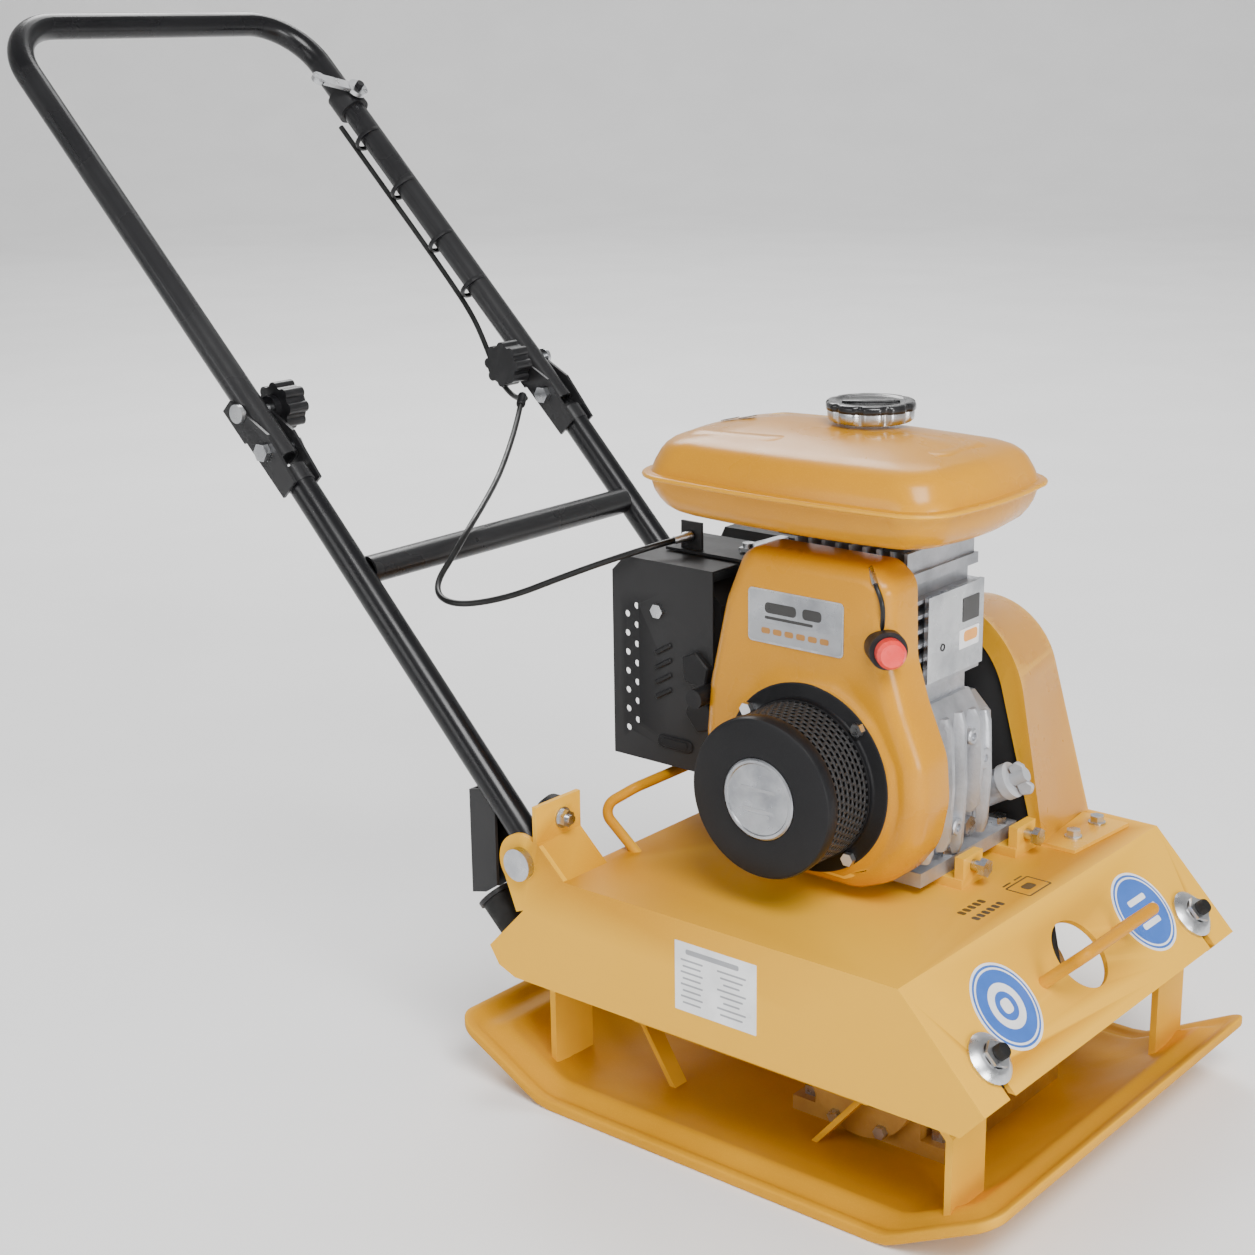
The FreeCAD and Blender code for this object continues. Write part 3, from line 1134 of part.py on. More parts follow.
# Along the grip tube, away from it, and across, measured from the fold.
GRIP_CABLE_ROUTE = [
    (386.0, 20.5, 176.0), (318.0, 21.4, 177.0), (246.0, 20.4, 176.2), (176.0, 21.6, 177.0),
    (124.0, 22.0, 175.0), (86.0, 26.0, 168.5), (52.0, 30.5, 160.5), (24.0, 25.0, 154.0),
    (7.0, 12.0, 146.5), (0.0, 0.0, 139.5)]


def cord(points, radius):
    """A round cable along straight runs, each corner with the largest arc its runs allow."""
    corners = [Vector(*point) for point in points]
    edges = []
    start = corners[0]
    for before, corner, after in zip(corners, corners[1:], corners[2:]):
        back = (before - corner).normalize()
        ahead = (after - corner).normalize()
        half = (math.pi - back.getAngle(ahead)) / 2
        shorter = min((before - corner).Length, (after - corner).Length)
        bend = 0.45 * shorter / math.tan(half)
        print(f"    bend radius {bend:7.1f} mm")
        entry = corner + back * (bend * math.tan(half))
        leave = corner + ahead * (bend * math.tan(half))
        middle = corner + (back + ahead).normalize() * (bend / math.cos(half) - bend)
        edges.append(Part.LineSegment(start, entry).toShape())
        edges.append(Part.Arc(entry, middle, leave).toShape())
        start = leave
    edges.append(Part.LineSegment(start, corners[-1]).toShape())
    path = Part.Wire(edges)
    first = path.Edges[0]
    circle = Part.makeCircle(radius, corners[0], first.tangentAt(first.FirstParameter))
    shape = path.makePipeShell([Part.Wire([circle])], True, True)
    expected = math.pi * radius * radius * path.Length
    print(f"    cable length {path.Length:.0f} mm, volume ratio {shape.Volume / expected:.4f}")
    return solid(shape)


def make_cable():
    """The throttle cable: clipped along the grip tube, then hanging to the engine."""
    clipped = []
    for along, across, side in GRIP_CABLE_ROUTE:
        spot = beside(FOLD, UPPER_WAY, along, across)
        clipped.append((spot.x, side, spot.z))
    node("cable_on_grip", cord(clipped, CABLE_RADIUS))
    node("throttle_cable", cord(CABLE_ROUTE, CABLE_RADIUS))


def write_nodes():
    """Check every object and every finished piece, then write one file per piece."""
    doc.recompute()
    for obj in doc.Objects:
        if "Invalid" in obj.State or "Error" in obj.State:
            raise RuntimeError(f"{obj.Name} ({obj.Label}) failed: {obj.State}")
    os.makedirs("parts", exist_ok=True)
    for name, obj in NODES.items():
        shape = obj.Shape
        if shape.isNull() or not shape.isValid() or not shape.Solids:
            raise RuntimeError(f"{name} is not a valid solid")
        shape.exportStep(os.path.join("parts", name + ".step"))
        print(f"{name:24s} {len(shape.Solids)} solids {shape.Volume / 1000.0:9.1f} cm3")


make_base_plate()
make_mount_brackets()
make_rubber_mounts()
make_mount_nuts()
make_exciter()
make_sole_braces()
make_deck()
make_guard_bars()
make_belt_guard()
make_belt_drive()
make_crankcase()
make_crank_train()
make_cylinder()
make_cooling_covers()
make_recoil_starter()
make_tank()
make_rear_engine_parts()
make_lower_handle()
make_upper_handle()
make_handle_fittings()
make_lock_knobs()
make_throttle()
make_cable()
node("hex_bolts", group(HEX_BOLTS))
node("cover_screws", group(COVER_SCREWS))
write_nodes()
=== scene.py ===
"""Looks for a walk-behind plate compactor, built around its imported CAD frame.

Sizes are millimetres and are turned into metres when a mesh is made.
"""
import json
import math

import bpy
from mathutils import Matrix, Vector


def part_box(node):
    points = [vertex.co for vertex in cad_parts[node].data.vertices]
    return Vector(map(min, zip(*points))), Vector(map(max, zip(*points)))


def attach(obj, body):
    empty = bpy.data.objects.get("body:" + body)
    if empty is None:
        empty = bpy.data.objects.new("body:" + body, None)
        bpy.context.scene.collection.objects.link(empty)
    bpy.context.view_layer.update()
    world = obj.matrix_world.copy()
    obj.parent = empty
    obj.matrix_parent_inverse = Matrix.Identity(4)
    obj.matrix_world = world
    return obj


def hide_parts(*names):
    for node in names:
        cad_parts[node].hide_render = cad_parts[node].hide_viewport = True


MM = 0.001
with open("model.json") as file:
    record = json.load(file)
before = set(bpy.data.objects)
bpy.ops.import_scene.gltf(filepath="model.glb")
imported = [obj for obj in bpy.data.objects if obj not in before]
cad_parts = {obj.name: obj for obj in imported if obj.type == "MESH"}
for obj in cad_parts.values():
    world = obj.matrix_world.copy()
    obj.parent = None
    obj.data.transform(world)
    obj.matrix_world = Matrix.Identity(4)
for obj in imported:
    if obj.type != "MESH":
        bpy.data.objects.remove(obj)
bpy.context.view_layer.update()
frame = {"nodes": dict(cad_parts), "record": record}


def extent(node):
    """Lowest and highest corner of a CAD node, in millimetres."""
    low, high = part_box(node)
    return low / MM, high / MM


def middle(node):
    """Centre of a CAD node's box, in millimetres."""
    low, high = extent(node)
    return (low + high) / 2


# ------------------------------------------------------------------ camera
CAMERA_AT = Vector((934.0, -1408.4, 885.8))
CAMERA_YAW, CAMERA_PITCH, CAMERA_ROLL = (math.radians(v) for v in (39.97, -15.88, -0.82))
CAMERA_LENS = 60.95
SENSOR_WIDTH = 36.0
FARTHEST_SEEN = 50.0


def make_camera():
    """The photograph's view: yaw and pitch first, then a small roll about the line of sight."""
    data = bpy.data.cameras.new("camera")
    data.lens = CAMERA_LENS
    data.sensor_width = SENSOR_WIDTH
    data.clip_end = FARTHEST_SEEN
    camera = bpy.data.objects.new("camera", data)
    bpy.context.scene.collection.objects.link(camera)
    ahead = Vector((-math.sin(CAMERA_YAW) * math.cos(CAMERA_PITCH),
                    math.cos(CAMERA_YAW) * math.cos(CAMERA_PITCH), math.sin(CAMERA_PITCH)))
    level = Vector((math.cos(CAMERA_YAW), math.sin(CAMERA_YAW), 0.0))
    upright = level.cross(ahead)
    right = level * math.cos(CAMERA_ROLL) + upright * math.sin(CAMERA_ROLL)
    up = right.cross(ahead)
    turn = Matrix((right, up, -ahead)).transposed()
    camera.matrix_world = Matrix.Translation(CAMERA_AT * MM) @ turn.to_4x4()
    bpy.context.scene.camera = camera


make_camera()


# ------------------------------------------------------------------ materials
# sockets of a colour Mix node, which has one set for each data type
MIX_FACTOR, MIX_FIRST, MIX_SECOND, MIX_RESULT = 0, 6, 7, 2


class Nodes:
    """A short way to write a node material."""

    def __init__(self, name):
        self.material = bpy.data.materials.new(name)
        self.material.use_nodes = True
        self.tree = self.material.node_tree
        self.shader = self.tree.nodes["Principled BSDF"]
        self.place = self.add("ShaderNodeTexCoord").outputs["Object"]

    def add(self, kind, **settings):
        made = self.tree.nodes.new(kind)
        for key, value in settings.items():
            setattr(made, key, value)
        return made

    def link(self, output, target):
        self.tree.links.new(output, target)

    def stretched(self, scale):
        mapping = self.add("ShaderNodeMapping")
        mapping.inputs["Scale"].default_value = scale
        self.link(self.place, mapping.inputs["Vector"])
        return mapping.outputs["Vector"]

    def noise(self, scale, detail=3.0, rough=0.5, stretch=None):
        made = self.add("ShaderNodeTexNoise")
        made.inputs["Scale"].default_value = scale
        made.inputs["Detail"].default_value = detail
        made.inputs["Roughness"].default_value = rough
        self.link(self.stretched(stretch) if stretch else self.place, made.inputs["Vector"])
        return made.outputs["Fac"]

    def spread(self, value, low, high, into=(0.35, 0.65)):
        made = self.add("ShaderNodeMapRange")
        made.inputs["From Min"].default_value = into[0]
        made.inputs["From Max"].default_value = into[1]
        made.inputs["To Min"].default_value = low
        made.inputs["To Max"].default_value = high
        self.link(value, made.inputs["Value"])
        return made.outputs["Result"]

    def blend(self, factor, first, second):
        made = self.add("ShaderNodeMix", data_type="RGBA")
        for index, value in ((MIX_FACTOR, factor), (MIX_FIRST, first), (MIX_SECOND, second)):
            socket = made.inputs[index]
            if isinstance(value, bpy.types.NodeSocket):
                self.link(value, socket)
            elif isinstance(value, tuple):
                socket.default_value = (*value, 1.0)
            else:
                socket.default_value = value
        return made.outputs[MIX_RESULT]

    def bump(self, height, strength, distance):
        made = self.add("ShaderNodeBump")
        made.inputs["Strength"].default_value = strength
        made.inputs["Distance"].default_value = distance
        self.link(height, made.inputs["Height"])
        return made.outputs["Normal"]

    def edges(self, low, high):
        """One on convex edges, where a painted highlight goes, nought on flats."""
        point = self.add("ShaderNodeNewGeometry").outputs["Pointiness"]
        return self.spread(point, 0.0, 1.0, (low, high))

    def finish(self, colour=None, rough=None, normal=None, **fixed):
        sockets = self.shader.inputs
        for socket, value in (("Base Color", colour), ("Roughness", rough), ("Normal", normal)):
            if isinstance(value, bpy.types.NodeSocket):
                self.link(value, sockets[socket])
            elif isinstance(value, tuple):
                sockets[socket].default_value = (*value, 1.0)
            elif value is not None:
                sockets[socket].default_value = value
        for key, value in fixed.items():
            sockets[key.replace("_", " ")].default_value = value
        return self.material


def paint(name, colour, light, dark, rough=0.36, peel=0.06, coat=0.06, shine=0.12):
    """Sprayed enamel: slow colour drift, fine speckle, orange peel, and a painted highlight along convex
    edges.
    """
    made = Nodes(name)
    drift = made.spread(made.noise(5.0, 3.0), 0.0, 1.0)
    tone = made.blend(drift, dark, colour)
    speckle = made.spread(made.noise(900.0, 2.0), 0.0, 0.16, (0.5, 0.75))
    tone = made.blend(speckle, tone, light)
    # painted highlight: convex edges are mixed towards the light colour, standing in for light catching
    # bends and edges
    tone = made.blend(made.edges(0.53, 0.60), tone, light)
    gloss = made.spread(made.noise(14.0, 4.0), rough - 0.05, rough + 0.09)
    skin = made.bump(made.noise(320.0, 2.0), peel, 0.0006)
    return made.finish(tone, gloss, skin, Coat_Weight=coat, Coat_Roughness=0.18,
                       Specular_IOR_Level=shine)


def metal(name, colour, dark, rough, grain=(1.0, 1.0, 1.0), scale=260.0, depth=0.12, metallic=1.0):
    """Plated, machined or cast metal: stained tone, grain and fine pits."""
    made = Nodes(name)
    stain = made.spread(made.noise(22.0, 5.0, 0.6), 0.0, 1.0, (0.38, 0.66))
    tone = made.blend(stain, colour, dark)
    gloss = made.spread(made.noise(60.0, 4.0), rough - 0.08, rough + 0.14)
    fine = made.bump(made.noise(scale, 4.0, 0.6, grain), depth, 0.0008)
    return made.finish(tone, gloss, fine, Metallic=metallic)


def plain(name, colour, light, rough, scale=500.0, depth=0.1, coat=0.0, shine=0.25):
    """Moulded plastic or rubber: fine grain, a little dust on the upper tones, and a painted highlight
    along convex edges.
    """
    made = Nodes(name)
    dust = made.spread(made.noise(30.0, 5.0, 0.65), 0.0, 1.0, (0.45, 0.78))
    tone = made.blend(dust, colour, light)
    # painted highlight: convex edges are mixed towards the light colour, standing in for light on edges
    tone = made.blend(made.edges(0.54, 0.66), tone, light)
    gloss = made.spread(made.noise(90.0, 3.0), rough - 0.06, rough + 0.1)
    grain = made.bump(made.noise(scale, 3.0), depth, 0.0006)
    return made.finish(tone, gloss, grain, Coat_Weight=coat, Specular_IOR_Level=shine)


YELLOW = (0.590, 0.255, 0.003)
# YELLOW_LIGHT is the speckle colour and also the painted highlight colour on convex edges
YELLOW_LIGHT = (0.820, 0.430, 0.026)
YELLOW_DARK = (0.520, 0.215, 0.002)
# in each paint and plain material the third colour is the speckle or dust colour and also the painted edge
# highlight
MATERIALS = {
    "deck_paint": paint("deck_paint", YELLOW, YELLOW_LIGHT, YELLOW_DARK, 0.42, 0.10),
    "cover_paint": paint("cover_paint", YELLOW, YELLOW_LIGHT, YELLOW_DARK, 0.28, 0.04, 0.22, 0.2),
    "sole_steel": paint("sole_steel", (0.62, 0.29, 0.010), YELLOW_LIGHT, (0.53, 0.24, 0.006),
                        0.52, 0.14, 0.0, 0.12),
    "zinc": metal("zinc", (0.66, 0.67, 0.68), (0.42, 0.43, 0.45), 0.28),
    "machined_steel": metal("machined_steel", (0.52, 0.53, 0.54), (0.34, 0.34, 0.35), 0.24,
                            (1.0, 14.0, 1.0)),
    "black_tube": paint("black_tube", (0.005, 0.005, 0.006), (0.02, 0.02, 0.021), (0.003, 0.003, 0.004),
                        0.26, 0.05, 0.1, 0.3),
    "black_steel": paint("black_steel", (0.006, 0.006, 0.007), (0.03, 0.03, 0.031), (0.004, 0.004, 0.005),
                         0.40, 0.12, 0.0, 0.18),
    "cast_grey": metal("cast_grey", (0.52, 0.53, 0.56), (0.34, 0.35, 0.37), 0.42, scale=420.0, depth=0.45,
                       metallic=0.75),
    "cast_iron_grey": metal("cast_iron_grey", (0.52, 0.28, 0.05), (0.40, 0.20, 0.035), 0.55, scale=300.0,
                            depth=0.6, metallic=0.0),
    "black_rubber": plain("black_rubber", (0.006, 0.006, 0.006), (0.02, 0.019, 0.018), 0.62, 380.0, 0.25),
    "belt_rubber": plain("belt_rubber", (0.014, 0.014, 0.015), (0.04, 0.04, 0.04), 0.75, 900.0, 0.4),
    "black_plastic": plain("black_plastic", (0.006, 0.006, 0.007), (0.02, 0.02, 0.021), 0.40, 700.0, 0.18),
    "grey_plastic": plain("grey_plastic", (0.36, 0.37, 0.39), (0.52, 0.53, 0.55), 0.36, 500.0, 0.1, 0.1),
    "red_plastic": plain("red_plastic", (0.74, 0.022, 0.020), (0.85, 0.10, 0.08), 0.30, 400.0, 0.08, 0.4),
    "cap_plastic": plain("cap_plastic", (0.006, 0.006, 0.007), (0.02, 0.02, 0.021), 0.26, 500.0, 0.1, 0.5),
    "cable_sheath": plain("cable_sheath", (0.005, 0.005, 0.005), (0.02, 0.02, 0.02), 0.36, 600.0, 0.1, 0.2),
    "ceramic": plain("ceramic", (0.80, 0.79, 0.75), (0.88, 0.87, 0.84), 0.18, 300.0, 0.05, 0.6),
    "knob_plastic": plain("knob_plastic", (0.005, 0.005, 0.006), (0.018, 0.018, 0.019),
                          0.34, 600.0, 0.12, 0.3),
}


FILM_DULL = 0.85


def film(name, colour, rough=0.32):
    """Printed label film, a little duller in patches."""
    made = Nodes(name)
    dull = tuple(part * FILM_DULL for part in colour)
    tone = made.blend(made.spread(made.noise(40.0, 4.0), 0.0, 1.0), colour, dull)
    return made.finish(tone, made.spread(made.noise(30.0), rough - 0.05, rough + 0.1), Coat_Weight=0.3)


FILMS = {
    "white_film": film("white_film", (0.86, 0.87, 0.88)),
    "blue_film": film("blue_film", (0.035, 0.14, 0.52)),
    "grey_film": film("grey_film", (0.33, 0.34, 0.36)),
    "black_film": film("black_film", (0.016, 0.015, 0.014)),
    "orange_film": film("orange_film", (0.85, 0.34, 0.03)),
    "bronze_film": film("bronze_film", (0.40, 0.17, 0.02)),
    "print_film": film("print_film", (0.075, 0.045, 0.012), 0.5),
    "silver_film": metal("silver_film", (0.46, 0.47, 0.49), (0.26, 0.27, 0.29), 0.30,
                         scale=60.0, depth=0.03),
}
SLOT_OF = {entry["node"]: entry["material_slot"] for entry in frame["record"]["subparts"]}


# ------------------------------------------------------------------ piece making
def settle(piece, body, slot, stands_for=(), look=None):
    """Give a new piece its material and its body, and hide the CAD nodes it stands for."""
    piece.data.materials.clear()
    piece.data.materials.append(look or MATERIALS[slot])
    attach(piece, body)
    if stands_for:
        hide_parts(*stands_for)
    return piece


def shade(piece, angle=32.0):
    """Smooth shading, with sharp edges where faces meet at more than an angle."""
    for face in piece.data.polygons:
        face.use_smooth = True
    piece.data.set_sharp_from_angle(angle=math.radians(angle))


FLAT_ANGLE = 1.2
EDGE_ANGLE = 35.0


def round_edges(piece, width):
    """Small round edges on a hard-edged mesh, after merging its flat triangles."""
    merge = piece.modifiers.new("merge flats", "DECIMATE")
    merge.decimate_type = "DISSOLVE"
    merge.angle_limit = math.radians(FLAT_ANGLE)
    bevel = piece.modifiers.new("round edges", "BEVEL")
    bevel.width = width * MM
    bevel.segments = 2
    bevel.limit_method = "ANGLE"
    bevel.angle_limit = math.radians(EDGE_ANGLE)
    bevel.harden_normals = True


def piece_of(name, points, faces, slot, body="root", stands_for=(), look=None, angle=32.0):
    """A mesh piece from points in millimetres."""
    data = bpy.data.meshes.new(name)
    data.from_pydata([tuple(value * MM for value in point) for point in points], [], faces)
    data.validate()
    data.update()
    piece = bpy.data.objects.new(name, data)
    bpy.context.scene.collection.objects.link(piece)
    shade(piece, angle)
    return settle(piece, body, slot, stands_for, look)


class Stock:
    """Points and faces gathered into one mesh."""

    def __init__(self):
        self.points = []
        self.faces = []

    def add(self, points, faces):
        base = len(self.points)
        self.points += [tuple(point) for point in points]
        self.faces += [tuple(index + base for index in face) for face in faces]
        return self

    def skin(self, loops, first=True, last=True, closed=True):
        """Faces between loops of equal length, with end caps if asked."""
        count = len(loops[0])
        faces = []
        span = count if closed else count - 1
        for row in range(len(loops) - 1):
            for index in range(span):
                after = (index + 1) % count
                faces.append((row * count + index, row * count + after,
                              (row + 1) * count + after, (row + 1) * count + index))
        if first:
            faces.append(tuple(reversed(range(count))))
        if last:
            faces.append(tuple((len(loops) - 1) * count + index for index in range(count)))
        return self.add([point for loop in loops for point in loop], faces)

    def lathe(self, profile, at, axis, steps=48, first=True, last=True):
        """Swing (radius, height) pairs about an axis through a point."""
        side, other = frame_of(axis)
        loops = []
        for radius, height in profile:
            centre = Vector(at) + Vector(axis).normalized() * height
            loops.append([centre + side * (radius * math.cos(turn)) + other * (radius * math.sin(turn))
                          for turn in (2 * math.pi * step / steps for step in range(steps))])
        return self.skin(loops, first, last)

    def prism(self, outline, low, high, direction, origin, side, up, chamfer=0.0):
        """An outline in (side, up) pushed along a direction, with optional edge chamfers."""
        direction, side, up = Vector(direction), Vector(side), Vector(up)
        levels = [(low, 0.0), (high, 0.0)]
        if chamfer:
            levels = [(low, chamfer), (low + chamfer, 0.0), (high - chamfer, 0.0), (high, chamfer)]
        loops = []
        for level, inset in levels:
            loops.append([Vector(origin) + direction * level + side * u + up * w
                          for u, w in inset_outline(outline, inset)])
        return self.skin(loops)

    def make(self, name, slot, **more):
        return piece_of(name, self.points, self.faces, slot, **more)


def frame_of(axis):
    """Two directions square to an axis and to each other."""
    axis = Vector(axis).normalized()
    helper = Vector((0, 0, 1)) if abs(axis.z) < 0.9 else Vector((1, 0, 0))
    side = axis.cross(helper).normalized()
    return side, axis.cross(side).normalized()


def inset_outline(outline, amount):
    """An outline moved inwards by an amount, corner by corner."""
    if not amount:
        return list(outline)
    area = sum(a[0] * b[1] - b[0] * a[1] for a, b in zip(outline, outline[1:] + outline[:1]))
    sense = 1.0 if area > 0 else -1.0
    moved = []
    for before, here, after in zip(outline[-1:] + outline[:-1], outline, outline[1:] + outline[:1]):
        one = Vector((here[0] - before[0], here[1] - before[1])).normalized()
        two = Vector((after[0] - here[0], after[1] - here[1])).normalized()
        normal = Vector((-(one.y + two.y), one.x + two.x))
        if normal.length < 1e-6:
            normal = Vector((-one.y, one.x))
        normal.normalize()
        reach = amount / max(0.35, normal.dot(Vector((-one.y, one.x))))
        moved.append((here[0] + normal.x * reach * sense, here[1] + normal.y * reach * sense))
    return moved


def rounded(outline, radius, steps=6):
    """An outline with an arc at each corner; radius may be one number or one per corner."""
    radii = radius if isinstance(radius, (list, tuple)) else [radius] * len(outline)
    result = []
    for before, here, after, size in zip(outline[-1:] + outline[:-1], outline,
                                         outline[1:] + outline[:1], radii):
        here = Vector(here)
        back = Vector(before) - here
        ahead = Vector(after) - here
        half = back.angle(ahead) / 2
        if size <= 0 or half > 1.55:
            result.append(tuple(here))
            continue
        reach = min(size / math.tan(half), back.length * 0.49, ahead.length * 0.49)
        arc = reach * math.tan(half)
        centre = here + (back.normalized() + ahead.normalized()).normalized() * (arc / math.sin(half))
        start = here + back.normalized() * reach - centre
        swing = (here + ahead.normalized() * reach - centre).angle_signed(start)
        for step in range(steps + 1):
            result.append(tuple(centre + Matrix.Rotation(swing * step / steps, 2) @ start))
    return result


def bar(x, y, half_w, half_h, radius, steps):
    """A round-cornered rectangle about (x, y)."""
    return rounded([(x - half_w, y - half_h), (x + half_w, y - half_h),
                    (x + half_w, y + half_h), (x - half_w, y + half_h)], radius, steps)


def rounded_box(half_x, half_y, radius, arc, sides, bow=0.0):
    """A round-cornered rectangle about the origin, with points along its sides that can bow out."""
    points = []
    corners = ((1, 1), (-1, 1), (-1, -1), (1, -1))
    for quarter, (sx, sy) in enumerate(corners):
        centre = (sx * (half_x - radius), sy * (half_y - radius))
        for step in range(arc + 1):
            turn = math.radians(90 * quarter + 90 * step / arc)
            points.append((centre[0] + radius * math.cos(turn), centre[1] + radius * math.sin(turn)))
        nx, ny = corners[(quarter + 1) % 4]
        start = points[-1]
        turn = math.radians(90 * quarter + 90)
        end = (nx * (half_x - radius) + radius * math.cos(turn),
               ny * (half_y - radius) + radius * math.sin(turn))
        count = sides[quarter % 2]
        for step in range(1, count):
            share = step / count
            swell = bow * (1 - (2 * share - 1) ** 2)
            points.append((start[0] + (end[0] - start[0]) * share + math.cos(turn) * swell,
                           start[1] + (end[1] - start[1]) * share + math.sin(turn) * swell))
    return points


def wire(name, points, radius, slot, body="root", stands_for=()):
    """A smooth round wire or cable along points in millimetres."""
    data = bpy.data.curves.new(name, "CURVE")
    data.dimensions = "3D"
    data.bevel_depth = radius * MM
    data.bevel_resolution = 5
    data.resolution_u = 10
    data.use_fill_caps = True
    line = data.splines.new("NURBS")
    line.points.add(len(points) - 1)
    for spot, point in zip(line.points, points):
        spot.co = (*(value * MM for value in point), 1.0)
    line.order_u = 3
    line.use_endpoint_u = True
    piece = bpy.data.objects.new(name, data)
    bpy.context.scene.collection.objects.link(piece)
    return settle(piece, body, slot, stands_for)


# ------------------------------------------------------------------ CAD nodes that stay
USUAL_EDGE = 0.5
EDGE_OF = {
    "deck": 1.6, "belt_guard": 2.4, "mount_brackets": 1.4, "sole_braces": 1.0, "handle_lower": 0.7,
    "handle_upper": 0.0, "hex_bolts": 0.7, "cover_screws": 0.6, "crankcase": 1.8, "crankcase_cover": 1.6,
    "cylinder_block": 0.7, "cylinder_head": 0.7, "muffler_guard": 2.2, "muffler": 5.0, "air_cleaner": 5.0,
    "carburetor": 1.5, "rubber_mounts": 2.0, "handle_buffers": 1.5, "exciter_housing": 2.5,
    "lock_knob_left": 1.6, "lock_knob_right": 1.6, "starter_grip": 1.6, "throttle_clamp": 0.8,
}


def dress_cad_nodes():
    """Every CAD piece gets its procedural material, smooth shading and small round edges."""
    for name, piece in frame["nodes"].items():
        piece.data.materials.clear()
        piece.data.materials.append(MATERIALS[SLOT_OF[name]])
        shade(piece, 30.0)
        edge = EDGE_OF.get(name, USUAL_EDGE)
        if edge:
            round_edges(piece, edge)


dress_cad_nodes()


# ------------------------------------------------------------------ base plate
PLATE_CORNER = 17.0
PLATE_THICK = 6.0
BEND_AT = 173.0
BEND_SPAN = 9.0


def make_sole():
    """One pressed plate: bent up at both ends, a rolled lip, a valley and a raised floor."""
    high = extent("base_plate")[1]
    half_x, half_y = high.x, high.y
    slope = (high.z - PLATE_THICK) / (half_x - BEND_AT)

    def lift(x):
        run = abs(x) - BEND_AT
        if run < -BEND_SPAN:
            return 0.0
        if run < BEND_SPAN:
            return slope * (run + BEND_SPAN) ** 2 / (4 * BEND_SPAN)
        return slope * run

    def loop(inset, height):
        corner = max(PLATE_CORNER - inset * 0.4, 8.0)
        flat = rounded_box(half_x - inset, half_y - inset, corner, 8, (40, 16))
        return [(x, y, lift(x) + height) for x, y in flat]

    under = [(112.0, 0.0), (60.0, 0.0), (12.0, 0.0), (2.2, 0.0), (0.5, 0.8), (0.0, 2.0)]
    over = [(0.0, 7.8), (0.5, 9.0), (1.8, 9.8), (6.6, 10.0), (8.4, 9.4), (11.0, 7.4),
            (14.0, 6.6), (18.0, 7.0), (24.0, 10.2), (28.0, 12.6), (31.0, 13.3), (34.0, 13.0),
            (38.0, 11.2), (48.0, 8.6), (62.0, 7.4), (84.0, 7.0), (112.0, 7.0)]
    Stock().skin([loop(*pair) for pair in under + over]).make(
        "sole_plate", "sole_steel", stands_for=["base_plate"], angle=60.0)


# ------------------------------------------------------------------ fuel tank
TANK_BOW = 5.0
CROWN_DROP = 3.0


def make_tank():
    """Two pressed shells and a rolled seam, as level sections whose sides bow out a little."""
    low, high = extent("fuel_tank_upper")
    base, seam = extent("fuel_tank_lower")
    centre = (low + high) / 2
    half = (high - low) / 2
    rim = seam.z
    crown = high.z - CROWN_DROP

    def section(inset, height, radius):
        flat = rounded_box(half.x - TANK_BOW - inset, half.y - TANK_BOW - inset, radius,
                           9, (14, 10), TANK_BOW)
        return [(centre.x + x, centre.y + y, height) for x, y in flat]

    upper = [(7.0, rim - 0.2, 36.0), (7.4, rim + 4.0, 36.0), (9.6, rim + 11.0, 36.0),
             (13.0, rim + 19.0, 36.0), (15.8, rim + 23.6, 36.0), (20.0, rim + 27.4, 36.0),
             (26.0, rim + 30.0, 34.0), (36.0, rim + 32.4, 32.0), (50.0, rim + 35.2, 28.0),
             (64.0, rim + 37.8, 22.0), (80.0, crown - 0.6, 12.0), (88.0, crown, 5.0)]
    Stock().skin([section(*row) for row in upper]).make(
        "tank_upper_shell", "cover_paint", stands_for=["fuel_tank_upper"], angle=60.0)
    lower = [(7.0, rim + 0.2, 36.0), (7.4, rim - 6.0, 36.0), (9.0, rim - 13.0, 36.0),
             (11.6, rim - 19.0, 36.0), (15.4, rim - 25.0, 36.0), (20.6, base.z + 4.6, 34.0),
             (28.0, base.z + 1.4, 32.0), (38.0, base.z, 26.0), (88.0, base.z, 5.0)]
    Stock().skin([section(*row) for row in reversed(lower)]).make(
        "tank_lower_shell", "cover_paint", stands_for=["fuel_tank_lower"], angle=60.0)
    lip = [(9.0, rim - 1.7), (1.6, rim - 1.8), (0.3, rim - 1.2), (0.0, rim - 0.1), (0.3, rim + 1.0),
           (1.6, rim + 1.9), (4.0, rim + 2.0), (6.6, rim + 2.4), (9.0, rim + 3.6)]
    Stock().skin([section(inset, height, 42.0 - inset * 0.7) for inset, height in lip]).make(
        "tank_seam_lip", "cover_paint", angle=60.0)
    make_tank_pads(centre, crown)


PADS = [(-66.0, -32.0, 44.0, 22.0, 34.6), (-60.0, 34.0, 34.0, 12.0, 36.2), (88.0, 4.0, 20.0, 34.0, 34.6)]
PAD_FALL = 0.032375
MARK_LIFT = 33.4


